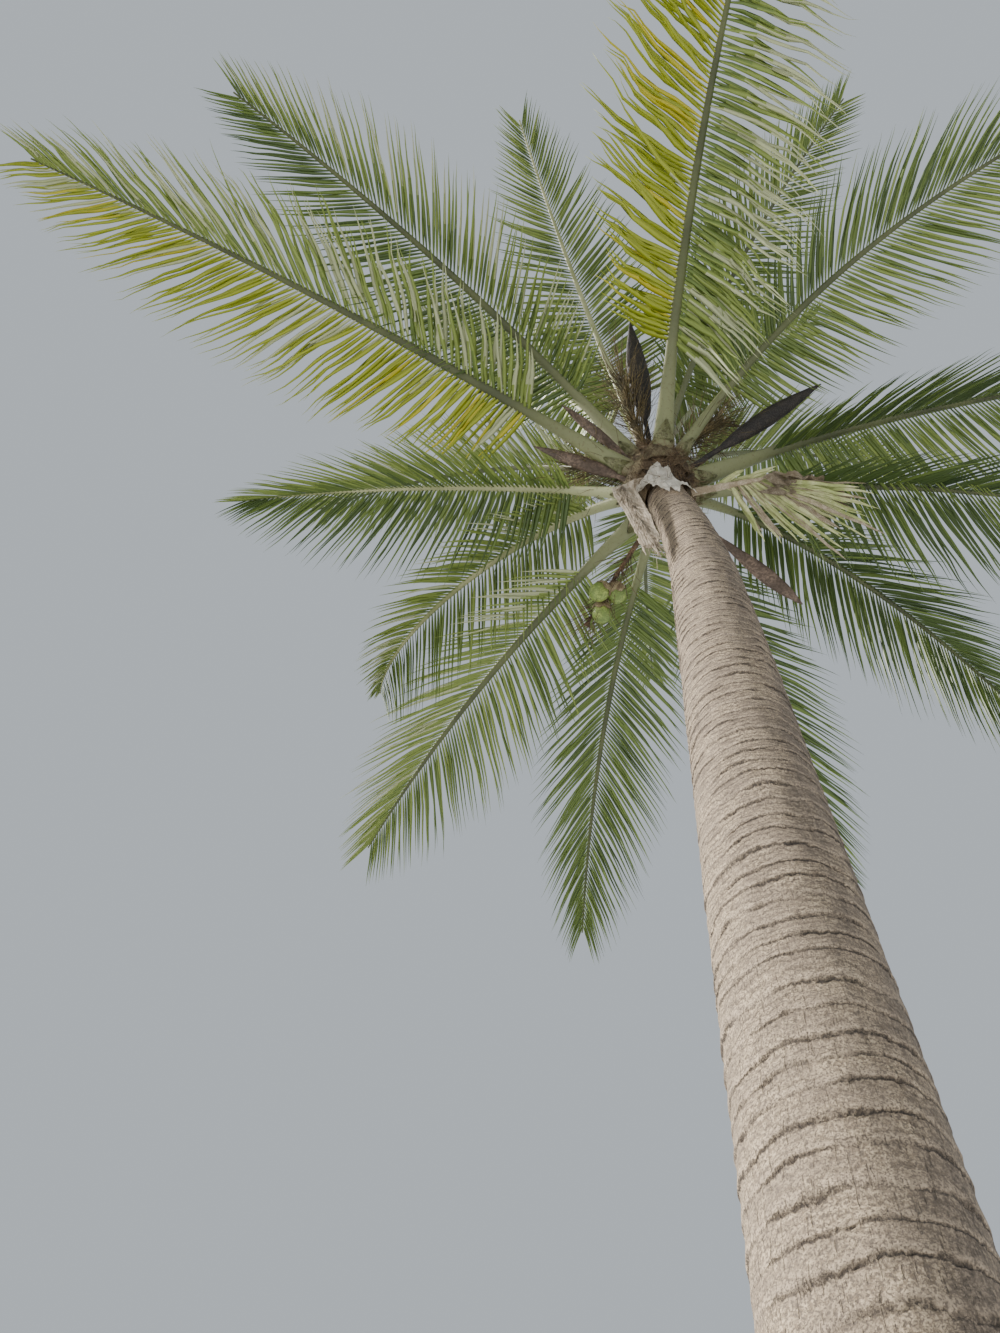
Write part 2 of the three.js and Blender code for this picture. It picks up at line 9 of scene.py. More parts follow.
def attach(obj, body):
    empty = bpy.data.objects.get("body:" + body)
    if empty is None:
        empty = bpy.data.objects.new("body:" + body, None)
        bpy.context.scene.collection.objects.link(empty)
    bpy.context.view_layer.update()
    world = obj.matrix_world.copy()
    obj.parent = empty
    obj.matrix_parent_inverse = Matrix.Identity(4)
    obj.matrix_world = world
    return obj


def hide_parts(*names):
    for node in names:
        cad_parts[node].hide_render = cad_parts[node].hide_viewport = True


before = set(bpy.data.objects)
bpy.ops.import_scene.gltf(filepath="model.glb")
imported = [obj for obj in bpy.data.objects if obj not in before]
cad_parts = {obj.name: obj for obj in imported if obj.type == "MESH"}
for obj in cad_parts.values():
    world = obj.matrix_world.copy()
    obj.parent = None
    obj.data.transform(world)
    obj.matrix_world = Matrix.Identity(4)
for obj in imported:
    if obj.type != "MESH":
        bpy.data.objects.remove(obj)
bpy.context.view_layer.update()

# Trunk: its middle line leans evenly and turns upright under the crown. The profile is height and radius
TRUNK_HEIGHT = 6.2
LEAN_X = 0.097
LEAN_Y = 0.032
TURN_HEIGHT = 5.0
TURN_LENGTH = 1.35
TURN_OFFSET = 0.118
TRUNK_PROFILE = [
    (0.0, 0.262), (0.07, 0.25), (0.2, 0.222), (0.45, 0.204), (0.9, 0.195), (1.6, 0.189), (2.4, 0.176),
    (3.3, 0.163), (4.2, 0.149), (5.0, 0.133), (5.6, 0.114), (6.0, 0.101), (TRUNK_HEIGHT, 0.098),
]
TRUNK_ROWS = 800
TRUNK_SIDES = 120
TRUNK_BLUR = 0.08
RINGS_PER_METRE = 15.0
RINGS_GROWTH = 0.4

# Crown heart: height above the neck and radius
HEART_PROFILE = [
    (0.0, 0.098), (0.05, 0.122), (0.13, 0.146), (0.26, 0.156), (0.4, 0.146), (0.52, 0.122),
    (0.62, 0.09), (0.7, 0.052), (0.73, 0.024),
]
HEART_ROWS = 110
HEART_SIDES = 90
HEART_BLUR = 0.02

# Arching paths. Each starts with bearing, launch angle, droop, length and height of the base above the
# neck, and may go on with sweep and twist.
DROOP_POWER = 1.4
PATH_STEPS = 48

# Fronds by path with sweep and twist, width of the leaf stalk, hang of the leaflets, pull of gravity
# on them and leaflet length
FRONDS = {
    "near_big": (280, 46, 60, 3.8, 0.27, 0, 14, 0.092, 10, 0.2, 0.68),
    "near_slim": (307, 64, 50, 3.2, 0.4, 0, 8, 0.058, 4, 0.05, 0.52),
    "near_right": (318, 46, 55, 3.6, 0.29, 14, -8, 0.066, 6, 0.15, 0.6),
    "right_thick": (353, 36, 48, 3.5, 0.15, 0, 10, 0.1, 24, 0.45, 0.64),
    "right_level": (6, 31, 58, 3.3, 0.075, 0, 6, 0.066, 26, 0.5, 0.6),
    "far_right": (27, 44, 115, 3.1, 0.13, 10, 0, 0.066, 24, 0.5, 0.6),
    "far_hidden": (62, 38, 84, 3.2, 0.13, 0, 0, 0.066, 16, 0.35, 0.58),
    "far_middle": (96, 30, 75, 3.1, 0.09, 0, 0, 0.062, 16, 0.3, 0.58),
    "far_left_thick": (124, 26, 48, 3.1, 0.1, 0, -6, 0.084, 10, 0.2, 0.62),
    "left_drooping": (146, 46, 146, 2.4, 0.17, 0, 0, 0.074, 16, 0.25, 0.5),
    "left_level": (170, 37, 46, 2.5, 0.08, 6, 6, 0.066, 20, 0.4, 0.54),
    "left_long": (202, 35, 52, 3.8, 0.19, 5, 0, 0.084, 8, 0.25, 0.64),
    "left_dark": (220, 44, 62, 3.15, 0.3, -2, 20, 0.074, 10, 0.2, 0.58),
    "near_upright": (244, 70, 45, 3.0, 0.39, 6, 0, 0.056, -6, 0.05, 0.54),
    "young_far": (80, 62, 55, 3.0, 0.36, 0, 0, 0.056, 0, 0.08, 0.52),
    "young_left": (160, 62, 60, 3.0, 0.35, 0, 0, 0.056, 0, 0.08, 0.52),
    "young_right": (15, 64, 55, 3.0, 0.39, 0, 0, 0.056, 0, 0.08, 0.52),
    "young_back": (112, 75, 30, 2.6, 0.5, 0, 0, 0.05, -12, 0, 0.46),
    "young_side": (342, 72, 40, 2.7, 0.48, 0, 0, 0.05, -10, 0, 0.46),
    "young_west": (200, 72, 40, 2.7, 0.48, 0, 0, 0.05, -10, 0, 0.46),
}
DIVIDED_FRONDS = ("far_right", "far_hidden", "far_middle", "left_drooping")

# Plain leaf colours, from deep shade to yellow. Deep shade is painted shade, the pale grey-green one is a
# painted sheen of leaflets that catch the light, and the last two paint the glow of sunlight shining
# through leaflets. A leaflet takes the one nearest to its frond's value, give or take TINT_STRAY.
LEAF_COLOURS = {
    "deep_shade": (0.03, 0.058, 0.014),
    "dark_green": (0.062, 0.104, 0.023),
    "green": (0.12, 0.18, 0.035),
    "light_green": (0.21, 0.28, 0.06),
    # Painted sheen: the pale grey-green of leaflets that catch the light
    "silvery": (0.42, 0.46, 0.27),
    # Painted glow: these two tints stand for sunlight shining through the leaflets
    "yellow_green": (0.29, 0.34, 0.022),
    "yellow": (0.45, 0.42, 0.025),
}
TINT_STRAY = 0.65
LEAF_ROUGHNESS = 0.42

# How each frond differs from the usual one. Pairs are for its right and left hand: colour value of
# the leaflets' inner and outer part, sag and curl towards the frond's tip as shares of their length,
# angle from the rib low down and at the tip, roll about their own length and pull of gravity. A darker
# inner part paints the shade near the rib, and outer values of the sheen and glow tints paint light
# on the leaflets' ends.
USUAL_LOOK = {
    "inner": (1.7, 1.7), "sag": (0.22, 0.22), "curl": (0.04, 0.04), "low": (74, 74), "tip": (26, 26),
    "roll": (30, 30), "waves": 0.04, "breadth": 0.022, "unruly": 0.8, "stalk": "green",
}
FROND_LOOKS = {
    "near_big": {
        "inner": (5.1, 2.2), "outer": (5.15, 3.8), "sag": (0.03, 0.25), "curl": (0.16, -0.2),
        "low": (88, 122), "tip": (56, 74), "roll": (40, 16), "gravity": (0, 0.3), "waves": 0.16,
        "breadth": 0.033, "unruly": 1.5,
    },
    "near_slim": {"inner": (2.4, 2.2)},
    "near_right": {"inner": (1.7, 2.3), "outer": (1.9, 2.7)},
    "right_thick": {"inner": (1.3, 1.9), "outer": (1.6, 2.4), "low": (82, 74)},
    "right_level": {"inner": (1.1, 1.5), "sag": (0.3, 0.3), "low": (86, 76)},
    "far_right": {"inner": (1.0, 1.4), "sag": (0.3, 0.3)},
    "far_hidden": {"inner": (1.2, 1.2)},
    "far_middle": {"inner": (1.8, 1.8)},
    "far_left_thick": {"inner": (2.3, 2.9), "outer": (2.3, 3.3)},
    "left_drooping": {"inner": (2.0, 2.6), "outer": (2.4, 3.3), "sag": (0.35, 0.35), "stalk": "pale"},
    "left_level": {
        "inner": (1.3, 1.8), "outer": (1.3, 2.8), "low": (82, 86), "tip": (10, 12), "stalk": "pale",
    },
    "left_long": {"inner": (4.9, 2.8), "outer": (5.0, 3.4), "waves": 0.1, "breadth": 0.028, "unruly": 1.5},
    "left_dark": {"inner": (1.4, 1.7), "outer": (1.6, 3.4)},
    "near_upright": {"inner": (1.9, 2.2), "outer": (2.8, 2.2), "stalk": "pale"},
    "young_far": {"inner": (2.5, 2.5), "sag": (0.15, 0.15)},
    "young_left": {"inner": (2.4, 2.8), "outer": (2.8, 3.4), "sag": (0.15, 0.15)},
    "young_right": {"inner": (2.4, 2.4), "sag": (0.15, 0.15)},
    "young_back": {"inner": (2.7, 2.7), "sag": (0.1, 0.1), "stalk": "pale"},
    "young_side": {"inner": (2.7, 2.7), "sag": (0.1, 0.1), "stalk": "pale"},
    "young_west": {"inner": (2.6, 2.8), "outer": (3.0, 3.2), "sag": (0.1, 0.1), "stalk": "pale"},
}

RIB_TIP_WIDTH = 0.009
RIB_TAPER_POWER = 0.85
RIB_BASE_FLARE = 1.0
RIB_BASE_SHARE = 0.22
RIB_SLENDERNESS = 0.84

# Leaflets: where they start and end along the rib, how far apart they are, and how much of a leaflet
# has the tone between those of its inner and outer part
LEAF_FIRST_SHARE = 0.22
LEAF_LAST_SHARE = 0.99
LEAF_SPACING = 0.025
LEAF_BETWEEN_SHARE = 0.24

# Clasping base of a leaf stalk: the share of it that wraps round the heart before it follows the
# stalk, how fast it does so, its narrowing near the end and its thickness
CLASP_WRAP_SHARE = 0.75
CLASP_STALK_RATE = 0.14
CLASP_NARROW_SHARE = 0.28
CLASP_THICKNESS = 0.006

# Spear leaf, still folded
SPEAR = (240, 86, 6, 2.25, 0.6)
SPEAR_WIDTH = 0.058
SPEAR_TIP_WIDTH = 0.006
SPEAR_POINT_SHARE = 0.42
SPEAR_SWELL = 0.3

# Dry flower pods by path, width of the hull, roll, power that moves its fullest place towards the tip,
# and look
PODS = {
    "pod_upper": (262, 50, 12, 0.95, 0.45, 0.125, 20, 0.85, "black"),
    "pod_right": (340, 38, 4, 1.29, 0.21, 0.092, -30, 0.9, "black"),
    "pod_low_right": (38, 6, 6, 1.0, 0.07, 0.085, 15, 1.35, "brown"),
    "pod_left": (190, 40, 10, 0.8, 0.104, 0.07, 30, 0.8, "brown"),
    "pod_upper_left": (212, 42, 10, 0.73, 0.245, 0.062, -25, 1.0, "brown"),
}
POD_RIM = 0.015
POD_STALK_SHARE = 0.36
POD_STALK_WIDTH = 0.038
POD_STALK_TAPER = 0.85
POD_FULLNESS = 0.95

# Spent flower brushes by the path of the stalk
BRUSHES = {
    "brush_upper": (248, 54, 20, 0.62, 0.4),
    "brush_right": (333, 55, 20, 0.64, 0.33),
    "brush_left": (183, 44, 20, 0.48, 0.24),
}
BRUSH_STALK_WIDTH = 0.026
BRUSH_STALK_TAPER = 0.6

# Bunch of young nuts: place of each by share of the stalk, angle round it and distance from it
BUNCH = (120, 0, 14, 0.76, 0.024)
BUNCH_STALK_WIDTH = 0.032
BUNCH_STALK_TAPER = 0.55
NUT_RADIUS = 0.05
NUT_STRETCH = 1.15
NUT_SPLAY = 0.7
NUTS = [(0.7, 196, 0.046), (0.74, 320, 0.05), (0.8, 90, 0.046), (0.86, 235, 0.044)]

# Broken frond: a stub that ends in a crumpled fan. Leaflets by share, turn, dip and length
BROKEN = (-16, -9, 8, 0.48, 0.05)
BROKEN_WIDTH = 0.0522
BROKEN_TAPER = 0.6
FAN = [
    (0.66, 66, 20, 0.3), (0.72, 58, 20, 0.38), (0.78, 51, 18, 0.46), (0.84, 44, 16, 0.52),
    (0.89, 38, 14, 0.56), (0.93, 31, 14, 0.56), (0.96, 25, 12, 0.54), (0.98, 18, 12, 0.5),
    (0.98, 11, 10, 0.44),
]
FAN_PLEATS = 5
FAN_PLEAT_TURN = 1.5
FAN_BLADE_WIDTH = 0.03
# Half-green leaflets that still stand on the stub: share, turn, dip and length
FAN_TUFT = [(0.5, -24, -8, 0.2), (0.58, -8, -10, 0.26), (0.66, 4, -4, 0.3), (0.6, 30, -6, 0.22)]
TORN_LEAF_LENGTH = 0.34
TORN_LEAF_WIDTH = 0.16

# Dead leaf base that hangs beside the neck: stations by rise and distance from the stem, and tongues
# by offset and length
DEAD_BASE_BEARING = 199
DEAD_BASE_STATIONS = [(0.062, 0.07), (0.048, 0.19), (-0.05, 0.243), (-0.38, 0.23), (-0.82, 0.205)]
DEAD_BASE_STEPS = 12
DEAD_BASE_ROLL = -48
DEAD_BASE_WIDTH = 0.13
DEAD_BASE_TAPER = 0.35
DEAD_TONGUES = [(-0.03, 0.19), (0.0, 0.25), (0.028, 0.17)]
DEAD_TONGUE_WIDTH = 0.036

# Torn sheath on the front of the neck: sideways place and height of its lower and upper edge, in mm
SHEATH_BEARING = 268
SHEATH_LOWER = [
    (-152, 8), (-128, -26), (-104, -42), (-84, -84), (-62, -150), (-36, -214), (-20, -150), (4, -262),
    (16, -200), (30, -132), (56, -120), (88, -176), (102, -190),
]
SHEATH_UPPER = [
    (-152, 26), (-124, 22), (-100, 34), (-78, 88), (-40, 112), (-14, 60), (8, 78), (22, -4), (40, -52),
    (70, -92), (102, -172),
]
SHEATH_THICKNESS = 0.005
SHEATH_ROWS = 24
SHEATH_COLUMNS = 72
MM = 0.001

STUB = (42, -8, 0, 0.33, 0.046)
STUB_WIDTH = 0.068
STUB_TAPER = 0.12

# Camera: beside the trunk at eye height, looking steeply up along +Y
EYE = (-0.31, -1.385, 1.5)
EYE_TILT = 152
LENS = 27
SENSOR_LONG_SIDE = 36
FLOOR_REACH = 60

DEGREE = math.pi / 180
UP = Vector((0, 0, 1))


class Field:
    """A value in a node tree. Sums, products and comparisons add the Math nodes that work them out."""

    def __init__(self, tree, socket):
        self.tree = tree
        self.socket = socket

    def __add__(self, other):
        return worked_out("ADD", self, other)

    __radd__ = __add__

    def __sub__(self, other):
        return worked_out("SUBTRACT", self, other)

    def __rsub__(self, other):
        return worked_out("SUBTRACT", other, self)

    def __mul__(self, other):
        if is_vector(self) and not is_vector(other):
            return worked_out("SCALE", self, other)
        if is_vector(other) and not is_vector(self):
            return worked_out("SCALE", other, self)
        return worked_out("MULTIPLY", self, other)

    def __neg__(self):
        return self * -1.0

    def __gt__(self, other):
        return worked_out("GREATER_THAN", self, other)

    def __lt__(self, other):
        return worked_out("LESS_THAN", self, other)

    def parts(self):
        node = self.tree.nodes.new("ShaderNodeSeparateXYZ")
        feed(self.tree, node.inputs[0], self)
        return [Field(self.tree, output) for output in node.outputs]


def is_vector(value):
    if isinstance(value, Field):
        return value.socket.type == "VECTOR"
    return isinstance(value, tuple)


def feed(tree, socket, value):
    if isinstance(value, Field):
        tree.links.new(value.socket, socket)
    else:
        socket.default_value = value


def open_socket(sockets, title):
    return next(socket for socket in sockets if socket.enabled and title in (None, socket.name))


def step(tree, kind, output=None, **values):
    """The field that one more node gives. Its settings, in lower case, come first. The other titles
    are inputs."""
    node = tree.nodes.new(kind)
    for title, value in values.items():
        if title.islower():
            setattr(node, title, value)
        else:
            feed(tree, open_socket(node.inputs, title.replace("_", " ")), value)
    return Field(tree, open_socket(node.outputs, output))


def worked_out(operation, *values):
    """The field that one Math or Vector Math node makes of its values."""
    tree = next(value.tree for value in values if isinstance(value, Field))
    vector = any(map(is_vector, values))
    node = tree.nodes.new("ShaderNodeVectorMath" if vector else "ShaderNodeMath")
    node.operation = operation
    sockets = [node.inputs[0], node.inputs["Scale"]] if operation == "SCALE" else node.inputs
    for socket, value in zip(sockets, values):
        feed(tree, socket, value)
    return Field(tree, node.outputs["Value" if operation == "LENGTH" else 0])


def unit(vector):
    return worked_out("NORMALIZE", vector)


def cross(a, b):
    return worked_out("CROSS_PRODUCT", a, b)


def turned(start, end, angle):
    """The direction at an angle from the start towards the end, as a field."""
    return start * worked_out("COSINE", angle) + end * worked_out("SINE", angle)


def ramp(value, low, high, to_low=0.0, to_high=1.0, shape="SMOOTHSTEP"):
    """Maps a field from one range to another, held at the ends."""
    return step(
        value.tree, "ShaderNodeMapRange", interpolation_type=shape, Value=value, From_Min=low, From_Max=high,
        To_Min=to_low, To_Max=to_high,
    )


def vector_of(x, y, z):
    tree = next(part.tree for part in (x, y, z) if isinstance(part, Field))
    return step(tree, "ShaderNodeCombineXYZ", X=x, Y=y, Z=z)


def speckle(place, scale, detail=2.0, roughness=0.5, output=None):
    """Noise from about 0.3 to 0.7 at a place, or for the output Color a triple of such noises."""
    return step(
        place.tree, "ShaderNodeTexNoise", output, Vector=place, Scale=scale, Detail=detail,
        Roughness=roughness,
    )


def drift(place, scale):
    """A vector that wanders with the place, about 0.4 long at most."""
    return worked_out("SUBTRACT", speckle(place, scale, output="Color"), (0.5, 0.5, 0.5))


def kind_of(title):
    return "FLOAT_VECTOR" if title in ("along", "side", "bend") else "FLOAT"


class GrowthRule:
    """A Geometry Nodes tree with named inputs, each given by its usual number or its kind of socket."""

    def __init__(self, name, **inputs):
        self.tree = bpy.data.node_groups.new(name, "GeometryNodeTree")
        face = self.tree.interface
        for title, value in {"Geometry": "Geometry", **inputs, "Finish": "Material"}.items():
            kind = value if isinstance(value, str) else type(value).__name__.title()
            socket = face.new_socket(title, in_out="INPUT", socket_type="NodeSocket" + kind)
            if value != kind:
                socket.default_value = value
        face.new_socket("Geometry", in_out="OUTPUT", socket_type="NodeSocketGeometry")
        self.entry = self.tree.nodes.new("NodeGroupInput")

    def __getitem__(self, title):
        return Field(self.tree, self.entry.outputs[title])

    def step(self, kind, output=None, **values):
        return step(self.tree, kind if "Node" in kind else "GeometryNode" + kind, output, **values)

    def named(self, title):
        return self.step("InputNamedAttribute", data_type=kind_of(title), Name=title)

    def keep(self, geometry, title, value):
        return self.step(
            "StoreNamedAttribute", data_type=kind_of(title), Geometry=geometry, Name=title, Value=value
        )

    def chance(self, low, high, offset):
        """A seeded random number for each point, apart from those of other offsets."""
        return self.step("FunctionNodeRandomValue", Min=low, Max=high, Seed=self["Seed"] + offset)

    def stray(self, offset):
        """A seeded random vector, up to 1 along each axis."""
        return vector_of(*[self.chance(-1.0, 1.0, offset + axis) for axis in range(3)])

    def stations(self):
        """Evenly spaced points on the given edges, and which of them lie between First and Last."""
        lines = self.step("MeshToCurve", Mesh=self["Geometry"])
        lines = self.step("ResampleCurve", mode="LENGTH", Curve=lines, Length=self["Spacing"])
        share = self.named("share")
        return lines, (share > self["First"]) * (share < self["Last"])

    def swept(self, line, profile, scale):
        return self.step("CurveToMesh", Curve=line, Profile_Curve=profile, Scale=scale, Fill_Caps=True)

    def repeat(self, points, title, chosen, direction, flat, size):
        """Copies the shape of that title to the chosen points, its length along the direction."""
        turn = self.step(
            "FunctionNodeAxesToRotation", primary_axis="X", secondary_axis="Z", Primary_Axis=direction,
            Secondary_Axis=flat,
        )
        shape = self.step("ObjectInfo", "Geometry", Object=self[title])
        copies = self.step(
            "InstanceOnPoints", Points=points, Selection=chosen, Instance=shape, Rotation=turn, Scale=size
        )
        return self.step("RealizeInstances", Geometry=copies)

    def bent(self, geometry, waves):
        """Bends each copy by its own vector and lets it waver, both more towards its tip."""
        run = self.named("run")
        place = self.step("InputPosition")
        offset = self.named("bend") * (run * run) + drift(place, 4.0) * (run * waves)
        return self.step("SetPosition", Geometry=geometry, Offset=offset)

    def end(self, geometry):
        """Realizes the instances, sets the material and closes the tree."""
        geometry = self.step("RealizeInstances", Geometry=geometry)
        geometry = self.step("SetMaterial", Geometry=geometry, Material=self["Finish"])
        feed(self.tree, self.tree.nodes.new("NodeGroupOutput").inputs[0], geometry)
        return self


def lines_mesh(lines):
    """Loose lines as a mesh. Each line is a list of points, and each point a dict of named values."""
    mesh = bpy.data.meshes.new("lines")
    points = [point for line in lines for point in line]
    edges = []
    first = 0
    for line in lines:
        edges += [(first + i, first + i + 1) for i in range(len(line) - 1)]
        first += len(line)
    mesh.from_pydata([point["place"] for point in points], edges, [])
    for title in points[0]:
        if title == "place":
            continue
        kind = kind_of(title)
        layer = mesh.attributes.new(title, kind, "POINT")
        for item, point in zip(layer.data, points):
            setattr(item, "value" if kind == "FLOAT" else "vector", point[title])
    return mesh


def grown(rule, source, **values):
    """The plain mesh that a growth rule makes of lines or of a mesh, with the rule's inputs given."""
    if isinstance(source, list):
        source = lines_mesh(source)
    carrier = bpy.data.objects.new("carrier", source)
    bpy.context.scene.collection.objects.link(carrier)
    modifier = carrier.modifiers.new("growth", "NODES")
    modifier.node_group = rule.tree
    for socket in rule.tree.interface.items_tree:
        if socket.in_out == "INPUT" and socket.name in values:
            modifier[socket.identifier] = values[socket.name]
    bpy.context.view_layer.update()
    seen = carrier.evaluated_get(bpy.context.evaluated_depsgraph_get())
    mesh = bpy.data.meshes.new_from_object(seen)
    carrier.modifiers.remove(modifier)
    bpy.data.objects.remove(carrier)
    mesh.materials.clear()
    mesh.materials.append(values["Finish"])
    mesh.polygons.foreach_set("material_index", [0] * len(mesh.polygons))
    layers = [layer for layer in mesh.attributes if not layer.is_required]
    for title in [layer.name for layer in layers if layer.data_type in ("FLOAT", "FLOAT_VECTOR")]:
        mesh.attributes.remove(mesh.attributes[title])
    return mesh


def linked(name, data):
    made = bpy.data.objects.new(name, data)
    bpy.context.scene.collection.objects.link(made)
    return made


def mesh_of(made, name, finish):
    """Turns a bmesh into a mesh of one material."""
    mesh = bpy.data.meshes.new(name)
    made.to_mesh(mesh)
    made.free()
    mesh.materials.append(finish)
    return mesh


def piece(name, parts, slot, *nodes):
    """A finished piece, joined from parts of one material. It rides on the palm's one body and stands
    for some of its solids."""
    whole = bmesh.new()
    for part in parts:
        whole.from_mesh(part)
    made = linked(name, mesh_of(whole, name, parts[0].materials[0]))
    for face in made.data.polygons:
        face.use_smooth = True
    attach(made, "root")
    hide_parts(*nodes)


def skinned(forms, rows, columns, finish, thickness=0.0):
    """Mesh of forms, each a function that gives the place at two shares from 0 to 1. Those with a
    thickness are sheets, the others close on themselves."""
    made = bmesh.new()
    across = columns + 1 if thickness else columns
    for form in forms:
        grid = [[made.verts.new(form(i / rows, k / columns)) for k in range(across)] for i in range(rows + 1)]
        for low, high in zip(grid, grid[1:]):
            for k in range(columns):
                after = (k + 1) % across
                made.faces.new((low[k], low[after], high[after], high[k]))
        if not thickness:
            made.faces.new(reversed(grid[0]))
            made.faces.new(grid[-1])
    if thickness:
        bmesh.ops.solidify(made, geom=made.faces[:], thickness=thickness)
    else:
        bmesh.ops.remove_doubles(made, verts=made.verts, dist=1e-5)
    bmesh.ops.recalc_face_normals(made, faces=made.faces)
    return mesh_of(made, "skin", finish)


def lerp(a, b, share):
    return a + (b - a) * share


def on_line(corners, x):
    """Height at x of a line through corners, level beyond its ends."""
    if x <= corners[0][0]:
        return corners[0][1]
    for (x0, y0), (x1, y1) in zip(corners, corners[1:]):
        if x <= x1:
            return lerp(y0, y1, (x - x0) / (x1 - x0))
    return corners[-1][1]


def ripple(x, y, z):
    return noise.noise(Vector((x, y, z)))


def compass(bearing):
    """Level directions along a bearing and to the left of it."""
    heading = math.radians(bearing)
    outward = Vector((math.cos(heading), math.sin(heading), 0))
    return outward, Vector((-outward.y, outward.x, 0))


def rolled(vector, degrees, axis):
    turned_vector = vector.copy()
    turned_vector.rotate(Matrix.Rotation(math.radians(degrees), 3, axis))
    return turned_vector


def lean(level, turn):
    """Sideways place of the stem's middle line, for numbers and for fields."""
    return level * LEAN_X - turn * turn * TURN_OFFSET, level * LEAN_Y


def stem_offset(height):
    """Sideways offset of the stem's middle line, as a field."""
    level = worked_out("MINIMUM", height, TRUNK_HEIGHT)
    turn = worked_out("MAXIMUM", level - TURN_HEIGHT, 0.0) * (1 / TURN_LENGTH)
    return vector_of(*lean(level, turn), 0.0)


def heart_point(rise):
    """Point of the stem's middle line, by its height above the neck."""
    level = min(TRUNK_HEIGHT + rise, TRUNK_HEIGHT)
    turn = max(0.0, level - TURN_HEIGHT) / TURN_LENGTH
    return Vector((*lean(level, turn), TRUNK_HEIGHT + rise))


class ArchPath:
    """Arching path of a frond or stalk from the crown heart, as in the palm's solids."""

    def __init__(self, bearing, launch, droop, length, rise, sweep=0, twist=0):
        place = heart_point(rise)
        self.points = [place.copy()]
        self.frames = []
        for i in range(PATH_STEPS + 1):
            share = i / PATH_STEPS
            climb = math.radians(launch - droop * share**DROOP_POWER)
            flat, side = compass(bearing + sweep * share)
            along = flat * math.cos(climb) + UP * math.sin(climb)
            self.frames.append((along, rolled(side, twist * share, along)))
            place += along * length / PATH_STEPS
            self.points.append(place.copy())

    def at(self, share):
        whole = min(max(share * PATH_STEPS, 0), PATH_STEPS - 1e-6)
        i = int(whole)
        part = whole - i
        along, side = [a.lerp(b, part).normalized() for a, b in zip(self.frames[i], self.frames[i + 1])]
        return self.points[i].lerp(self.points[i + 1], part), along, side


def path_line(path, width_at, steps=PATH_STEPS, roll=0, **values):
    """Points of a path with their directions and girth, for a growth rule."""
    points = []
    for i in range(steps + 1):
        share = i / steps
        point, along, side = path.at(share)
        side = rolled(side, roll, along)
        points.append(dict(place=point, share=share, along=along, side=side, girth=width_at(share), **values))
    return points


def bent_line(root, direction, side, length, width_at, bend, steps=12):
    """Line from a root in a direction, which bends away more and more."""
    points = []
    before = root
    for i in range(steps + 1):
        share = i / steps
        point = root + direction * (length * share) + bend * share**2
        along = (point - before).normalized() if i else direction.normalized()
        points.append(dict(place=point, share=share, along=along, side=side, girth=width_at(share)))
        before = point
    return points


def tapering(width, taper):
    """Width that shrinks evenly along a limb, by a share of it in all."""
    return lambda share: width * (1 - taper * share)


def stem_line(profile, bottom, rows, blur):
    """Upright line with the radius of a turned form, for a growth rule."""
    points = []
    for i in range(rows + 1):
        height = profile[-1][0] * i / rows
        near = [on_line(profile, height + blur * k / 2) for k in (-2, -1, 0, 1, 2)]
        points.append({"place": UP * (bottom + height), "radius": sum(near) / len(near)})
    return points


class Skin:
    """Fields of a place on the stem's skin, and patterns that run round it and up it."""

    def __init__(self, sideways, height):
        self.out = unit(sideways)
        self.height = height

    def noise(self, turns, rise, detail=1.0, roughness=0.5):
        """Noise with so many spots round the stem, and so many a metre up it."""
        x, y, _ = self.out.parts()
        return speckle(vector_of(x * turns, y * turns, self.height * rise), 1.0, detail, roughness)

    def rings(self):
        """How far up its ring a place lies, from 0 to 1, how deep the ring's scar is there, and the
        count of rings below."""
        count = self.height * (self.height * RINGS_GROWTH + RINGS_PER_METRE)
        count = count + (self.noise(0.0, 5.0) - 0.5) * 2.2 + (self.noise(0.5, 1.2) - 0.5) * 1.2
        count = count + (self.noise(1.8, 6.0) - 0.5) * 0.5 + (self.noise(10.0, 7.0, 3.0, 0.65) - 0.5) * 0.28
        return worked_out("FRACT", count), ramp(self.noise(1.6, 12.0, 2.0), 0.36, 0.6, 0.25, 1.0), count

    def cracks(self, level):
        """Short upright cracks, most of them low down."""
        cracks = ramp(self.noise(40.0, 24.0), level, level + 0.06, 1.0, 0.0)
        return cracks * ramp(self.height, 1.6, 3.6, 1.0, 0.1)


def ring_joint(phase, above):
    """The line between two rings: it starts just below one and reaches a way above it."""
    return ramp(phase, 0.0, above, 1.0, 0.0) + ramp(phase, 0.95, 1.0, 0.0, 1.0)


def stem_rule(name, relief_of, **inputs):
    """Sweeps circles up a line with radii, lays a relief on the skin and leans the form."""
    rule = GrowthRule(name, Sides=64, **inputs)
    line = rule.step("MeshToCurve", Mesh=rule["Geometry"])
    circle = rule.step("CurvePrimitiveCircle", Resolution=rule["Sides"], Radius=1.0)
    tube = rule.swept(line, circle, rule.named("radius"))
    x, y, height = rule.step("InputPosition").parts()
    skin = Skin(vector_of(x, y, 0.0), height)
    offset = skin.out * relief_of(rule, skin) + stem_offset(height)
    return rule.end(rule.step("SetPosition", Geometry=tube, Offset=offset))


def trunk_relief(rule, skin):
    """Rings with raised lips, cracks, soft lumps and an uneven foot."""
    phase, depth, _ = skin.rings()
    relief = ramp(phase, 0.03, 0.8, 1.0, 0.0) * depth * rule["Lip"]
    relief = relief - ring_joint(phase, 0.1) * depth * rule["Groove"] - skin.cracks(0.27) * rule["Cracks"]
    foot = ramp(skin.height, 0.0, 0.5, 1.0, 0.0)
    relief = relief + (skin.noise(1.4, 1.3, 2.0) - 0.5) * rule["Lumps"]
    return relief + (skin.noise(2.6, 0.3, 2.0) - 0.5) * foot * rule["Buttress"]


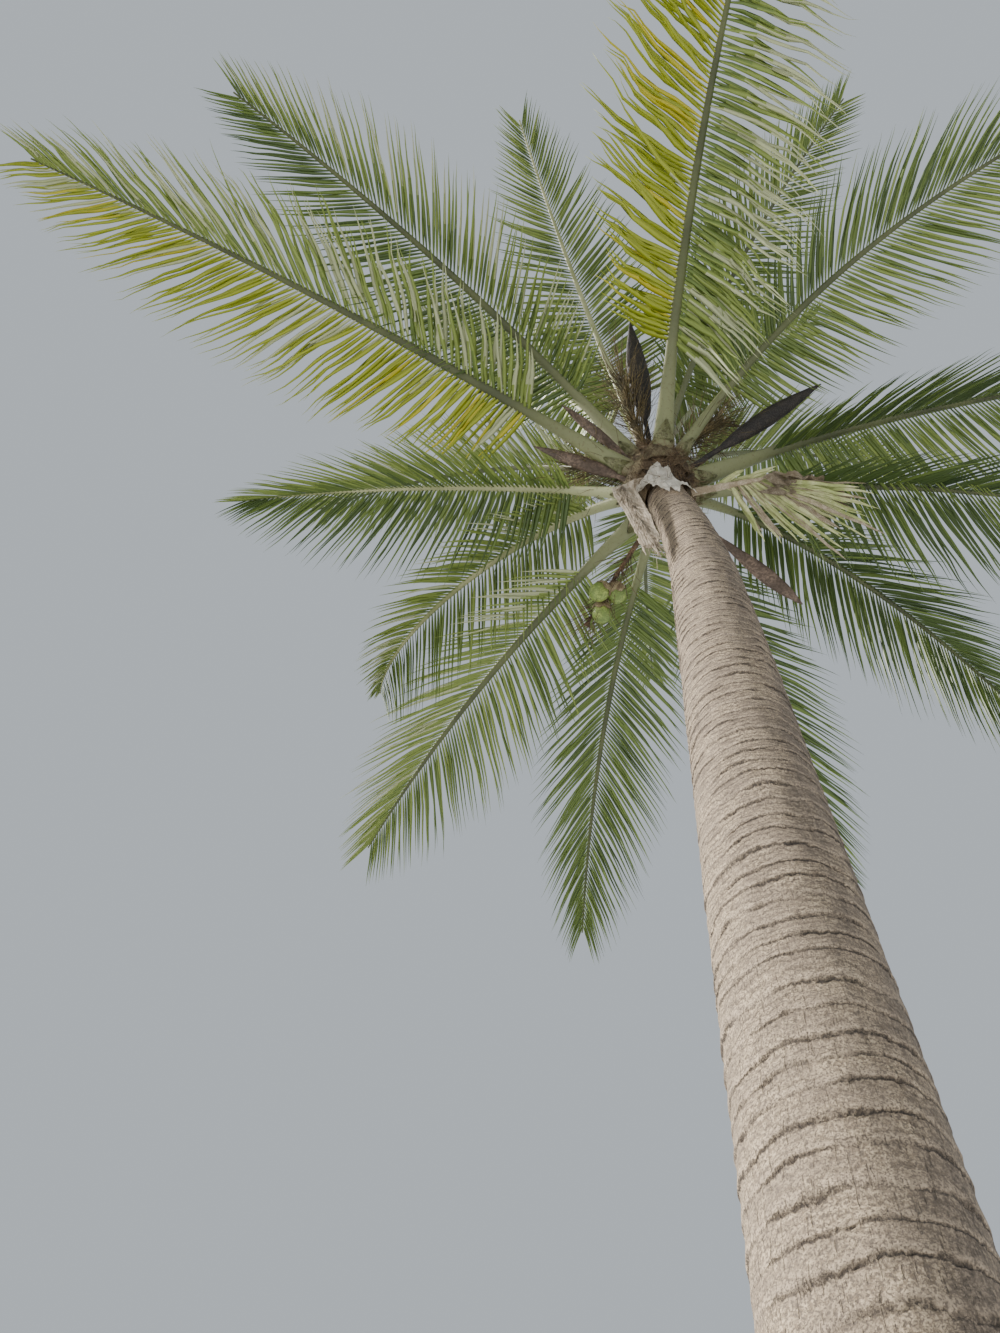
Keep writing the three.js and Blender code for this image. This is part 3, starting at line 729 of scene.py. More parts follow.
def heart_relief(rule, skin):
    """Matted lumps and furrows."""
    lumps = (skin.noise(2.2, 9.0, 2.0) - 0.6) * rule["Lumps"]
    return lumps + (skin.noise(9.0, 10.0, 3.0) - 0.6) * rule["Furrows"]


def limb_rule():
    """Sweeps a section along lines that carry their girth and side direction."""
    rule = GrowthRule("Tapering limb", Section="Object", Ruggedness=0.002, Grain=20.0)
    line = rule.step("MeshToCurve", Mesh=rule["Geometry"])
    line = rule.step("SetCurveNormal", mode="FREE", Curve=line, Normal=rule.named("side"))
    section = rule.step("ObjectInfo", "Geometry", Object=rule["Section"])
    limb = rule.swept(line, rule.step("MeshToCurve", Mesh=section), rule.named("girth") * 0.5)
    offset = drift(rule.step("InputPosition") * rule["Grain"], 1.0) * rule["Ruggedness"]
    return rule.end(rule.step("SetPosition", Geometry=limb, Offset=offset))


def leaflet_rule():
    """Leaflets along ribs: each leaves the rib at an angle that narrows towards the tip, hangs, sags
    and curls. Only the leaflets, or the stretches of leaflets, of one colour are kept."""
    rule = GrowthRule(
        "Leaflets along a rib", Leaflet="Object", Hand=1.0, Tint=0.0, Spacing=0.033, First=0.22, Last=0.99,
        Stray=0.85, Seed=1,
    )
    hand = rule["Hand"]

    def on_hand(title):
        right = rule.named(title + "_right")
        return right + (rule.named(title + "_left") - right) * (hand * 0.5 + 0.5)

    def unruly(reach, offset):
        return rule.named("unruly") * rule.chance(-reach, reach, offset)

    lines, placed = rule.stations()
    place = ramp(rule.named("share"), rule["First"], 1.0, shape="LINEAR")
    along = rule.named("along")
    side = rule.named("side")
    spread = on_hand("low") + (on_hand("tip") - on_hand("low")) * place + unruly(3.5, 1)
    hang = rule.named("hang") + unruly(7.0, 2)
    outward = turned(side * hand, -cross(along, side), hang * DEGREE)
    direction = turned(along, outward, spread * DEGREE)
    direction = unit(direction - vector_of(0.0, 0.0, on_hand("gravity")))
    fullness = place * 2.0 - place * place * 2.25 + 0.6
    length = rule.named("leaf_length") * fullness * rule.chance(0.88, 1.05, 3)
    half_width = rule.named("breadth") * 0.5 * (1.0 - place * 0.4) * rule.chance(0.85, 1.1, 4)
    roll = (on_hand("roll") * hand + rule.chance(-18.0, 18.0, 5)) * DEGREE
    roll = rule.step("FunctionNodeAxisAngleToRotation", Axis=direction, Angle=roll)
    flat = rule.step("FunctionNodeRotateVector", Vector=cross(along, direction) * hand, Rotation=roll)
    fall = vector_of(0.0, 0.0, -on_hand("sag") * rule.chance(0.7, 1.3, 6))
    curl = along * (on_hand("curl") + unruly(0.05, 7))
    lines = rule.keep(lines, "bend", (fall + curl) * length)
    stray = rule.chance(-1.0, 1.0, 8) * rule["Stray"]
    # Tints of each leaflet's inner and outer part: a darker inner tint paints the shade near the rib, and a
    # paler outer tint paints light on the leaflet's end
    for part in ("inner", "outer"):
        tint = worked_out("MAXIMUM", on_hand(part) + stray, 0.0)
        tint = worked_out("MINIMUM", tint, len(LEAF_COLOURS) - 1.0)
        lines = rule.keep(lines, part + "_tint", worked_out("ROUND", tint))
    lines = rule.keep(lines, "cut", rule.chance(0.02, 0.4, 9))

    def same(a, b):
        return worked_out("COMPARE", a, b, 0.1)

    inner = rule.named("inner_tint")
    outer = rule.named("outer_tint")
    middle = worked_out("ROUND", (inner + outer) * 0.5)
    past_inner = rule.named("tone") > rule.named("cut")
    past_middle = rule.named("tone") > rule.named("cut") + LEAF_BETWEEN_SHARE
    changing = 1.0 - same(inner, outer)
    size = vector_of(length, half_width, half_width)
    joint = rule.tree.nodes.new("GeometryNodeJoinGeometry")
    for tint, chosen, spare in (
        (inner, placed, past_inner * changing),
        (middle, placed * changing, 1.0 - past_inner + past_middle),
        (outer, placed * changing, 1.0 - past_middle),
    ):
        leaves = rule.repeat(lines, "Leaflet", chosen * same(tint, rule["Tint"]), direction, flat, size)
        leaves = rule.step("DeleteGeometry", domain="FACE", Geometry=leaves, Selection=spare)
        feed(rule.tree, joint.inputs[0], leaves)
    return rule.end(rule.bent(Field(rule.tree, joint.outputs[0]), rule.named("waves")))


def grown_strands(rule, points, chosen, direction, flat, length, bend):
    """Ends a rule that has strands, with a random thickness and a bend of their own."""
    thick = rule["Thickness"] * rule.chance(rule["Thinnest"], rule["Thickest"], 4)
    fall = vector_of(0.0, 0.0, rule["Sag"])
    points = rule.keep(points, "bend", (rule.stray(5) * bend - fall) * length)
    size = vector_of(length, thick, thick)
    strands = rule.repeat(points, "Strand", chosen, direction, flat, size)
    return rule.end(rule.bent(strands, rule["Waves"]))


def strand_rule():
    """Strands that leave a stalk all round it and bend their own ways."""
    rule = GrowthRule(
        "Strands along a stalk", Strand="Object", Spacing=0.004, Length=0.25, Thickness=0.004, Thinnest=0.7,
        Thickest=1.2, First=0.5, Last=1.0, Spread=30.0, Sag=0.2, Curl=0.2, Waves=0.1, Seed=1,
    )
    lines, chosen = rule.stations()
    along = rule.named("along")
    side = rule.named("side")
    outward = turned(side, cross(along, side), rule.chance(0.0, 2 * math.pi, 1))
    spread = rule["Spread"] * rule.chance(0.3, 1.5, 2) * DEGREE
    length = rule["Length"] * rule.chance(0.5, 1.0, 3)
    return grown_strands(rule, lines, chosen, turned(along, outward, spread), outward, length, rule["Curl"])


def fibre_rule():
    """Loose fibres that lie over a surface, crossing each other."""
    rule = GrowthRule(
        "Fibres on a surface", Strand="Object", Density=1500.0, Length=0.12, Thickness=0.0016, Thinnest=0.6,
        Thickest=1.3, Lift=0.3, Sag=0.2, Waves=0.1, Seed=1,
    )
    points = rule.step(
        "DistributePointsOnFaces", Mesh=rule["Geometry"], Density=rule["Density"], Seed=rule["Seed"]
    )
    normal = Field(rule.tree, points.socket.node.outputs["Normal"])
    level = unit(cross(normal, (0.0, 0.0, 1.0)))
    direction = normal * rule["Lift"] + level * rule.chance(-1.0, 1.0, 1)
    direction = unit(direction + vector_of(0.0, 0.0, rule.chance(-0.7, 1.0, 2)))
    length = rule["Length"] * rule.chance(0.4, 1.0, 3)
    return grown_strands(rule, points, True, direction, normal, length, 0.35)


def shape(name, points, faces, **values):
    """A hidden shape for a growth rule to repeat or sweep, with named values for its points."""
    mesh = bpy.data.meshes.new(name)
    edges = [] if faces else [(i, (i + 1) % len(points)) for i in range(len(points))]
    mesh.from_pydata(points, edges, faces)
    for title, numbers in values.items():
        mesh.attributes.new(title, "FLOAT", "POINT").data.foreach_set("value", numbers)
    return bpy.data.objects.new(name, mesh)


def pointed_shape(name, stations, ring_at):
    """Closed shape of unit length that ends in a point. A change of tone comes earlier on one side of
    it than on the other."""
    rings = [[(run, y, z) for y, z in ring_at(run)] for run in stations]
    corners = len(rings[0])
    points = [point for ring in rings for point in ring] + [(1.0, 0, 0)]
    faces = [tuple(range(corners))[::-1]]
    for first in range(0, len(points) - 1, corners):
        for k in range(corners):
            a = first + k
            b = first + (k + 1) % corners
            tip = first + corners == len(points) - 1
            faces.append((a, b, first + corners) if tip else (a, b, b + corners, a + corners))
    tones = [x + (0.2 if y > 0 else -0.2 if y < 0 else 0.0) for x, y, _ in points]
    return shape(name, points, faces, run=[x for x, _, _ in points], tone=tones)


def leaflet_ring(run):
    """Folded leaflet of unit half width, widest below its middle."""
    if run < 0.28:
        half = 0.28 + 0.72 * math.sin(math.pi / 2 * run / 0.28)
    else:
        half = 1 - ((run - 0.28) / 0.72) ** 1.35
    fold = -0.42 * half
    return (-half, fold), (0, -0.035), (half, fold), (0, 0.035)


def strand_ring(run):
    """Three-sided strand of unit half thickness, with a fine tip."""
    angles = [2 * math.pi * k / 3 for k in range(3)]
    return [((1 - 0.6 * run) * math.cos(angle), (1 - 0.6 * run) * math.sin(angle)) for angle in angles]


def section(name, corners, outline):
    """Closed section of unit half width: the outline gives its x and y for each angle."""
    return shape(name, [(*outline(2 * math.pi * i / corners), 0) for i in range(corners)], [])


def stalk_outline(angle):
    """Leaf stalk: round below, with a shallow channel above."""
    x = math.cos(angle)
    y = math.sin(angle)
    return (x, 0.62 * y) if y <= 0 else (x, 0.42 * y - 0.16 * (1 - x * x))


def there_and_back(angle):
    """Share of the way along a thin wall for its outer and inner side, and whether it is the outer."""
    turn = angle / math.pi
    return (turn, True) if turn < 1 else (2 - turn, False)


def hull_outline(angle):
    """Pod: a boat-shaped wall with ridges outside, open above."""
    wall, outer = there_and_back(angle)
    bow = math.pi * lerp(-0.12, 1.12, wall)
    if outer:
        ridge = 1 + 0.035 * math.cos(22 * bow)
        return ridge * math.cos(bow), -0.56 * ridge * math.sin(bow)
    return 0.86 * math.cos(bow), -0.44 * math.sin(bow)


def strap_outline(angle):
    """Dead leaf base: a thin shallow channel with fibrous ridges."""
    x = math.cos(angle)
    thick = 0.17 * math.sin(angle) * (1 + 0.22 * math.cos(19 * angle))
    return x, thick + 0.2 * x * x - 0.1


def pleat_outline(angle):
    """Folded spear: sharp pleats side by side."""
    reach = 1 - 0.2 * abs(math.sin(5 * angle))
    return reach * math.cos(angle), 0.8 * reach * math.sin(angle)


def fold_outline(angle):
    """Dry leaflet: a thin folded blade."""
    wall, outer = there_and_back(angle)
    x = lerp(-1, 1, wall)
    return x, 0.4 - 0.5 * abs(x) + (0.03 if outer else -0.03)


class Finish:
    """A Principled material whose patterns run on object coordinates."""

    def __init__(self, name, roughness=0.6, colour=(0.8, 0.8, 0.8)):
        self.material = bpy.data.materials.new(name)
        self.material.use_nodes = True
        self.tree = self.material.node_tree
        self.shader = self.tree.nodes["Principled BSDF"]
        self.shader.inputs["Roughness"].default_value = roughness
        self.shader.inputs["Base Color"].default_value = (*colour, 1)

    def place(self):
        return step(self.tree, "ShaderNodeTexCoord", "Object")

    def blend(self, low, *layers):
        """Lays colours over a first one, each by its own factor. A colour is a triple or a field."""
        for factor, high in layers:
            ends = [colour if isinstance(colour, Field) else (*colour, 1) for colour in (low, high)]
            low = step(self.tree, "ShaderNodeMix", data_type="RGBA", Factor=factor, A=ends[0], B=ends[1])
        return low

    def wear(self, colour, rough, relief, depth):
        """Links the colour, the roughness and the relief that have been worked out."""
        bump = step(self.tree, "ShaderNodeBump", Distance=depth, Height=relief)
        for title, value in {"Base Color": colour, "Roughness": rough, "Normal": bump}.items():
            feed(self.tree, self.shader.inputs[title], value)
        return self.material


def beside_stem(place):
    """Sideways step from the stem's middle line to a place, and the place's height."""
    height = place.parts()[2]
    x, y, _ = (place - stem_offset(height)).parts()
    return vector_of(x, y, 0.0), height


def bark_finish():
    finish = Finish("ringed_bark")
    skin = Skin(*beside_stem(finish.place()))
    phase, depth, count = skin.rings()
    weathered = ramp(skin.height, 1.9, 4.0, 0.3, 1.0)
    grain = skin.noise(22.0, 130.0, 4.0, 0.8)
    pits = skin.noise(46.0, 270.0, 2.0)
    thick = skin.noise(4.0, 9.0, 2.0)
    band = skin.noise(1.5, 13.0, 3.0, 0.6)
    streaks = skin.noise(4.0, 90.0, 3.0, 0.7)
    # Dark blotches, pushed towards the +X side: partly the bark's own blotches, partly painted shade on the
    # side away from the key light
    blotches_and_side_shade = skin.noise(1.2, 1.5, 5.0, 0.68) + skin.out.parts()[0] * 0.2
    scar = ring_joint(phase, ramp(thick, 0.35, 0.7, 0.06, 0.3)) * depth * ramp(grain, 0.42, 0.62, 1.0, 0.6)
    faint = ramp(worked_out("FRACT", count * 3.0 + (thick - 0.5) * 2.4), 0.0, 0.42, 1.0, 0.0)
    faint = faint * ramp(skin.noise(2.4, 19.0), 0.3, 0.52, 0.0, 0.95)
    faint = faint * ramp(grain, 0.42, 0.6, 1.0, 0.35) * weathered
    cracks = skin.cracks(0.29)
    speckled = ramp(grain, 0.4, 0.6)
    colour = finish.blend(
        (0.25, 0.19, 0.13),
        (speckled, (0.66, 0.53, 0.37)),
        (ramp(band, 0.4, 0.6, 0.0, 0.55), (0.31, 0.245, 0.185)),
        (ramp(streaks, 0.48, 0.62, 0.0, 0.8) * weathered, (0.16, 0.12, 0.09)),
        # Dark blotch colour, also the painted shade of the side away from the key light
        (
            ramp(blotches_and_side_shade, 0.48, 0.7, 0.0, 0.9),
            finish.blend((0.06, 0.048, 0.038), (speckled, (0.25, 0.2, 0.155))),
        ),
        # Painted highlight: a lighter band on each ring's lip, just above its scar
        (ramp(phase, 0.1, 0.4, 0.35, 0.0), (0.7, 0.56, 0.42)),
        (ramp(pits, 0.4, 0.5, 0.85, 0.0), (0.15, 0.12, 0.095)),
        (faint, (0.1, 0.077, 0.06)),
        (cracks * 0.7, (0.1, 0.08, 0.062)),
        (scar * 0.92, (0.045, 0.034, 0.027)),
    )
    relief = grain * (weathered * 0.2 + 0.3) + pits * 0.25 + streaks * weathered * 0.3 + band * 0.4
    relief = relief - scar - cracks - faint * 0.4
    return finish.wear(colour, ramp(grain, 0.3, 0.7, 0.78, 0.95), relief, 0.005)


def mottled_finish(name, colour, shade, scale, roughness, depth=0.002, stretch=(1.0, 1.0, 1.0), soil=0.7):
    """Two colours in soft patches with fine grain over them, drawn out along an axis if asked."""
    finish = Finish(name, roughness)
    place = finish.place() * stretch
    patches = speckle(place, scale, 3.0, 0.6)
    grain = speckle(place, scale * 7, 3.0, 0.6)
    dark = tuple(0.55 * part for part in shade)
    soiled = ramp(grain, 0.4, 0.62, soil, 0.0)
    colour = finish.blend(shade, (ramp(patches, 0.38, 0.62), colour), (soiled, dark))
    rough = ramp(grain, 0.35, 0.65, roughness + 0.12, roughness - 0.08)
    return finish.wear(colour, rough, grain + patches, depth)


def from_stem(place):
    """Distance of a place from the stem's middle line, as a field."""
    return worked_out("LENGTH", beside_stem(place)[0])


def stalk_finish(name, colour, shade, near_heart):
    """Leaf stalk skin: brown where it leaves the heart, paler for a while, then darker further out. On the
    green stalks the darker colour is painted shade of their sides and undersides.
    """
    finish = Finish(name, 0.45)
    place = finish.place()
    patches = speckle(place, 4.0, 3.0)
    freckles = speckle(place, 60.0, 3.0, 0.65)
    reach = from_stem(place) + patches * 0.2
    colour = finish.blend(
        shade,
        (ramp(patches, 0.36, 0.64), colour),
        (ramp(reach, 0.4, 1.05, 0.8, 0.0), near_heart),
        (ramp(reach + freckles * 0.1, 0.28, 0.38, 0.8, 0.0), (0.15, 0.1, 0.055)),
        (ramp(freckles, 0.58, 0.7, 0.0, 0.5), (0.09, 0.065, 0.035)),
    )
    return finish.wear(colour, ramp(freckles, 0.3, 0.7, 0.35, 0.6), freckles, 0.0015)


def clasp_finish():
    """Skin of the clasping bases: brown fibre low down, the stalk's pale green where they leave."""
    finish = Finish("clasping_skin")
    place = finish.place()
    patches = speckle(place * (1.0, 1.0, 0.35), 26.0, 3.0, 0.6)
    grain = speckle(place, 90.0, 2.0, 0.6)
    mottling = ramp(patches, 0.4, 0.6)
    leaving = ramp(from_stem(place) + patches * 0.06, 0.19, 0.235)
    colour = finish.blend(
        (0.09, 0.06, 0.035),
        (mottling, (0.27, 0.2, 0.12)),
        (leaving, finish.blend((0.19, 0.2, 0.09), (mottling, (0.31, 0.32, 0.18)))),
        (ramp(grain, 0.35, 0.5, 0.5, 0.0), (0.07, 0.05, 0.03)),
    )
    return finish.wear(colour, 0.8, grain + patches, 0.004)


LIMB = limb_rule()
STRANDS = strand_rule()
LEAFLET = pointed_shape("leaflet_shape", (0.0, 0.05, 0.14, 0.28, 0.42, 0.56, 0.7, 0.83, 0.93), leaflet_ring)
STRAND = pointed_shape("strand_shape", (0.0, 0.2, 0.4, 0.6, 0.8), strand_ring)
STALK_SECTION = section("stalk_section", 16, stalk_outline)
FOLD_SECTION = section("fold_section", 12, fold_outline)


def limbs(lines, outline, finish, ruggedness=0.002, grain=20.0):
    return grown(LIMB, lines, Section=outline, Ruggedness=ruggedness, Grain=grain, Finish=finish)


def strands(lines, finish, spacing, length, thickness, **values):
    return grown(
        STRANDS, lines, Strand=STRAND, Spacing=spacing, Length=length, Thickness=thickness,
        Finish=finish, **values,
    )


def make_trunk():
    rule = stem_rule(
        "Ringed trunk", trunk_relief, Lip=0.004, Groove=0.003, Cracks=0.0025, Lumps=0.012, Buttress=0.02
    )
    line = stem_line(TRUNK_PROFILE, 0.0, TRUNK_ROWS, TRUNK_BLUR)
    piece("ringed_trunk", [grown(rule, [line], Sides=TRUNK_SIDES, Finish=bark_finish())], "bark", "trunk")


def make_heart():
    rule = stem_rule("Matted heart", heart_relief, Lumps=0.03, Furrows=0.016)
    line = stem_line(HEART_PROFILE, TRUNK_HEIGHT, HEART_ROWS, HEART_BLUR)
    matted = mottled_finish("brown_fibre", (0.13, 0.08, 0.042), (0.05, 0.03, 0.017), 14.0, 0.85, 0.004)
    loose = mottled_finish("loose_fibre", (0.26, 0.18, 0.1), (0.12, 0.08, 0.045), 20.0, 0.9)
    core = grown(rule, [line], Sides=HEART_SIDES, Finish=matted)
    fibres = grown(
        fibre_rule(), core, Strand=STRAND, Density=3000.0, Length=0.13, Sag=0.35, Seed=3, Finish=loose
    )
    piece("heart_core", [core], "fibre", "crown_heart")
    piece("heart_fibres", [fibres], "fibre", "crown_heart")


def rib_width(girth):
    def width(share):
        flare = 1 + RIB_BASE_FLARE * max(0, 1 - share / RIB_BASE_SHARE) ** 1.5
        slender = RIB_SLENDERNESS * (girth - RIB_TIP_WIDTH) * (1 - share) ** RIB_TAPER_POWER
        return RIB_TIP_WIDTH + slender * flare

    return width


def clasping_base(path, girth, chance):
    """Form of the broad base of a leaf stalk, which wraps round the heart and narrows into the stalk."""
    leaving = 0
    while leaving < 0.3:
        point = path.at(leaving)[0]
        rise = point.z - TRUNK_HEIGHT
        offset = point - heart_point(rise)
        if math.hypot(offset.x, offset.y) > on_line(HEART_PROFILE, rise) + 0.01:
            break
        leaving += 0.005
    outward = Vector((offset.x, offset.y, 0)).normalized()
    level = Vector((-outward.y, outward.x, 0))
    bottom = max(-0.05, rise - chance.uniform(0.2, 0.3))
    broad = chance.uniform(0.1, 0.13)
    skew = chance.uniform(-0.03, 0.03)
    stalk_width = rib_width(girth)

    def place_at(run, share):
        across = 2 * share - 1
        narrow = max(0.0, run - 1 + CLASP_NARROW_SHARE) / CLASP_NARROW_SHARE
        half = lerp(broad, stalk_width(leaving + 0.03) * 0.5, run**0.7) * (1 - 0.9 * narrow**1.6)
        if run < CLASP_WRAP_SHARE:
            frayed = 0.03 * ripple(across * 4, girth * 90, bottom * 30) * (1 - run)
            here = lerp(bottom + frayed, rise, run / CLASP_WRAP_SHARE)
            middle = heart_point(here) + outward * (on_line(HEART_PROFILE, here) + 0.012 + 0.018 * run)
        else:
            stalk, along, side = path.at(leaving + (run - CLASP_WRAP_SHARE) * CLASP_STALK_RATE)
            middle = stalk - along.cross(side) * (stalk_width(leaving) * 0.34) + outward * 0.004
        bow = lerp(0.13, 0.2, run)
        turn = across * half / bow
        place = middle + level * (bow * math.sin(turn) + skew * (1 - run))
        place -= outward * (bow * (1 - math.cos(turn)))
        return place + outward * 0.012 * ripple(across * 3 + girth * 50, run * 4, rise * 9)

    return place_at


def make_fronds():
    stalks = {
        # The green stalks are darkened all over to paint the shade on their sides and undersides
        "green": stalk_finish("stalk_green_shaded", (0.09, 0.106, 0.036), (0.048, 0.06, 0.02), (0.2, 0.215, 0.105)),
        "pale": stalk_finish("stalk_pale", (0.38, 0.39, 0.22), (0.24, 0.26, 0.12), (0.34, 0.36, 0.2)),
    }
    ribs = {look: [] for look in stalks}
    nodes = {look: [] for look in stalks}
    lines = []
    bases = []
    chance = random.Random(8)
    for name, (*arch, girth, hang, gravity, leaf_length) in FRONDS.items():
        path = ArchPath(*arch)
        bases.append(clasping_base(path, girth, chance))
        look = USUAL_LOOK | {"gravity": (gravity, gravity)} | FROND_LOOKS[name]
        look.setdefault("outer", look["inner"])
        stalk = look.pop("stalk")
        values = {"hang": hang, "leaf_length": leaf_length}
        for title, value in look.items():
            if isinstance(value, tuple):
                values[title + "_right"], values[title + "_left"] = value
            else:
                values[title] = value
        lines.append(path_line(path, rib_width(girth), **values))
        ribs[stalk].append(lines[-1])
        parts = ("_inner", "_outer") if name in DIVIDED_FRONDS else ("",)
        nodes[stalk] += ["frond_" + name + part for part in parts]
    piece("clasping_bases", [skinned(bases, 14, 12, clasp_finish(), CLASP_THICKNESS)], "fibre", "crown_heart")
    for look, finish in stalks.items():
        piece("leaf_stalks_" + look, [limbs(ribs[look], STALK_SECTION, finish)], "frond", *nodes[look])
    rule = leaflet_rule()
    source = lines_mesh(lines)
    for tint, (look, colour) in enumerate(LEAF_COLOURS.items()):
        finish = Finish("leaf_" + look, LEAF_ROUGHNESS, colour).material
        hands = [
            grown(
                rule, source, Leaflet=LEAFLET, Hand=hand, Tint=float(tint), Spacing=LEAF_SPACING,
                First=LEAF_FIRST_SHARE, Last=LEAF_LAST_SHARE, Stray=TINT_STRAY, Seed=20 + int(hand) * 7,
                Finish=finish,
            )
            for hand in (-1.0, 1.0)
        ]
        piece("leaflets_" + look, hands, "frond", *nodes["green"], *nodes["pale"])


def make_spear():
    def width(share):
        point = min(1, (1 - share) / SPEAR_POINT_SHARE)
        swell = 1 - SPEAR_SWELL + SPEAR_SWELL * math.sin(math.pi * share)
        return SPEAR_TIP_WIDTH + SPEAR_WIDTH * point * swell

    pleats = section("pleat_section", 60, pleat_outline)
    finish = mottled_finish("spear_green", (0.42, 0.5, 0.17), (0.28, 0.37, 0.1), 8.0, 0.5)
    folded = limbs([path_line(ArchPath(*SPEAR), width)], pleats, finish)
    piece("folded_spear", [folded], "spear", "spear_leaf")


def make_pods():
    hull = section("hull_section", 56, hull_outline)
    finishes = {
        "black": mottled_finish("pod_black", (0.035, 0.026, 0.02), (0.012, 0.009, 0.008), 18.0, 0.6, 0.003),
        "brown": mottled_finish("pod_brown", (0.16, 0.11, 0.08), (0.07, 0.045, 0.03), 9.0, 0.6),
    }
    for look, finish in finishes.items():
        lines = []
        names = [name for name in PODS if PODS[name][-1] == look]
        for name in names:
            *arch, hull_width, roll, fullest, _ = PODS[name]

            def width(share):
                along_hull = max(0, (share - POD_STALK_SHARE) / (1 - POD_STALK_SHARE))
                belly = math.sin(math.pi * along_hull**fullest) ** POD_FULLNESS
                return POD_STALK_WIDTH * (1 - POD_STALK_TAPER * share) + (hull_width - POD_RIM) * belly

            lines.append(path_line(ArchPath(*arch), width, steps=64, roll=roll))
        piece("dry_pods_" + look, [limbs(lines, hull, finish, 0.008, 14.0)], "pod", *names)


def make_brushes():
    width = tapering(BRUSH_STALK_WIDTH, BRUSH_STALK_TAPER)
    lines = [path_line(ArchPath(*arch), width) for arch in BRUSHES.values()]
    finish = mottled_finish("brush_tan", (0.2, 0.15, 0.06), (0.075, 0.06, 0.028), 12.0, 0.8)
    stalks = limbs(lines, STALK_SECTION, finish, 0.006, 40.0)
    hairs = strands(
        lines, finish, 0.0016, 0.37, 0.0025, First=0.32, Spread=42.0, Sag=0.15, Curl=0.3, Waves=0.22, Seed=5
    )
    piece("flower_brushes", [stalks, hairs], "brush", *BRUSHES)


def round_form(centre, axis, outline):
    """Form about an axis. The outline gives its radius and height for a share of it and an angle."""
    turn = UP.rotation_difference(axis).to_matrix()

    def place_at(share, share_round):
        angle = 2 * math.pi * share_round
        radius, height = outline(share, angle)
        return centre + turn @ Vector((radius * math.cos(angle), radius * math.sin(angle), height))

    return place_at


def husk_outline(share, angle):
    """Young nut: slightly three-sided, fuller at the cap end."""
    polar = math.pi * lerp(0.01, 0.99, share)
    ridge = 1 + 0.045 * math.cos(3 * angle) * math.sin(polar)
    radius = NUT_RADIUS * math.sin(polar) * ridge * (1 - 0.06 * math.cos(polar))
    return radius, -NUT_RADIUS * NUT_STRETCH * math.cos(polar)


def cap_outline(share, angle):
    """Cap of six overlapping scales over the stalk end of a nut."""
    inside = share > 0.5
    run = 2 - 2 * share if inside else 2 * share
    polar = math.pi * lerp(0.04, 0.36 + 0.07 * abs(math.cos(3 * angle)), run)
    size = NUT_RADIUS * (1.02 if inside else 1.1)
    return size * math.sin(polar), -size * NUT_STRETCH * math.cos(polar)


def make_nuts():
    path = ArchPath(*BUNCH)
    husk = mottled_finish("nut_green", (0.3, 0.38, 0.09), (0.16, 0.24, 0.05), 16.0, 0.4, 0.001)
    cap = mottled_finish("nut_cap", (0.42, 0.36, 0.2), (0.2, 0.15, 0.08), 30.0, 0.7)
    dead = mottled_finish("nut_stalk_brown", (0.17, 0.1, 0.05), (0.07, 0.042, 0.024), 25.0, 0.8)
    poses = []
    for share, angle, distance in NUTS:
        point, along, side = path.at(share)
        outward = side * math.cos(math.radians(angle)) + along.cross(side) * math.sin(math.radians(angle))
        poses.append((point + outward * distance, (along + outward * NUT_SPLAY).normalized()))
    husks = skinned([round_form(*pose, husk_outline) for pose in poses], 20, 30, husk)
    caps = skinned([round_form(*pose, cap_outline) for pose in poses], 12, 36, cap)
    lines = [path_line(path, tapering(BUNCH_STALK_WIDTH, BUNCH_STALK_TAPER))]
    stalk = limbs(lines, STALK_SECTION, dead, 0.012, 40.0)
    hairs = strands(
        lines, dead, 0.004, 0.2, 0.0026, First=0.4, Last=0.97, Spread=38.0, Sag=0.3, Curl=0.25, Seed=11
    )
    piece("young_nuts", [husks], "nut", "nut_bunch")
    piece("nut_caps", [caps], "brush", "nut_bunch")
    piece("nut_stalk", [stalk, hairs], "brush", "nut_bunch")


def blade_width(run):
    return FAN_BLADE_WIDTH * min(1, 0.35 + 2.5 * run) * max(0.06, (1 - run) ** 0.45)


def fan_blades(path, leaves, chance):
    """Lines of the pleats of dry leaflets that leave a stub, a few close together for each leaflet."""
    blades = []
    for share, turn, dip, length in leaves:
        point, along, side = path.at(share)
        up = along.cross(side)
        for pleat in range(FAN_PLEATS):
            angle = math.radians(turn + FAN_PLEAT_TURN * (pleat - (FAN_PLEATS - 1) / 2))
            direction = along * math.cos(angle) + side * math.sin(angle) - up * math.sin(math.radians(dip))
            direction.normalize()
            reach = length * chance.uniform(0.8, 1.08)
            fall = [chance.uniform(low, high) for low, high in ((-0.05, 0.05), (-0.05, 0.05), (-0.2, -0.06))]
            across = up.cross(direction).normalized()
            fold = (0.5 if pleat % 2 else -0.5) + chance.uniform(-0.2, 0.2)
            across.rotate(Matrix.Rotation(fold, 3, direction))
            root = point - direction * 0.02
            blades.append(bent_line(root, direction, across, reach, blade_width, Vector(fall) * reach))
    return blades


def crumpled_form(middle, along, side, length, width):
    """Torn sheet that is crumpled all over and ragged at its rim."""
    up = along.cross(side)

    def place_at(x, y):
        x -= 0.5
        y -= 0.5
        ragged = 1 + 0.5 * ripple(x * 9, y * 9, 5)
        lift = 0.05 * ripple(x * 5, y * 5, 2) + 0.018 * ripple(x * 16, y * 16, 9)
        sideways = side * (y * width * ragged * (1 - x * x))
        return middle + along * (x * length * ragged) + sideways + up * lift

    return place_at


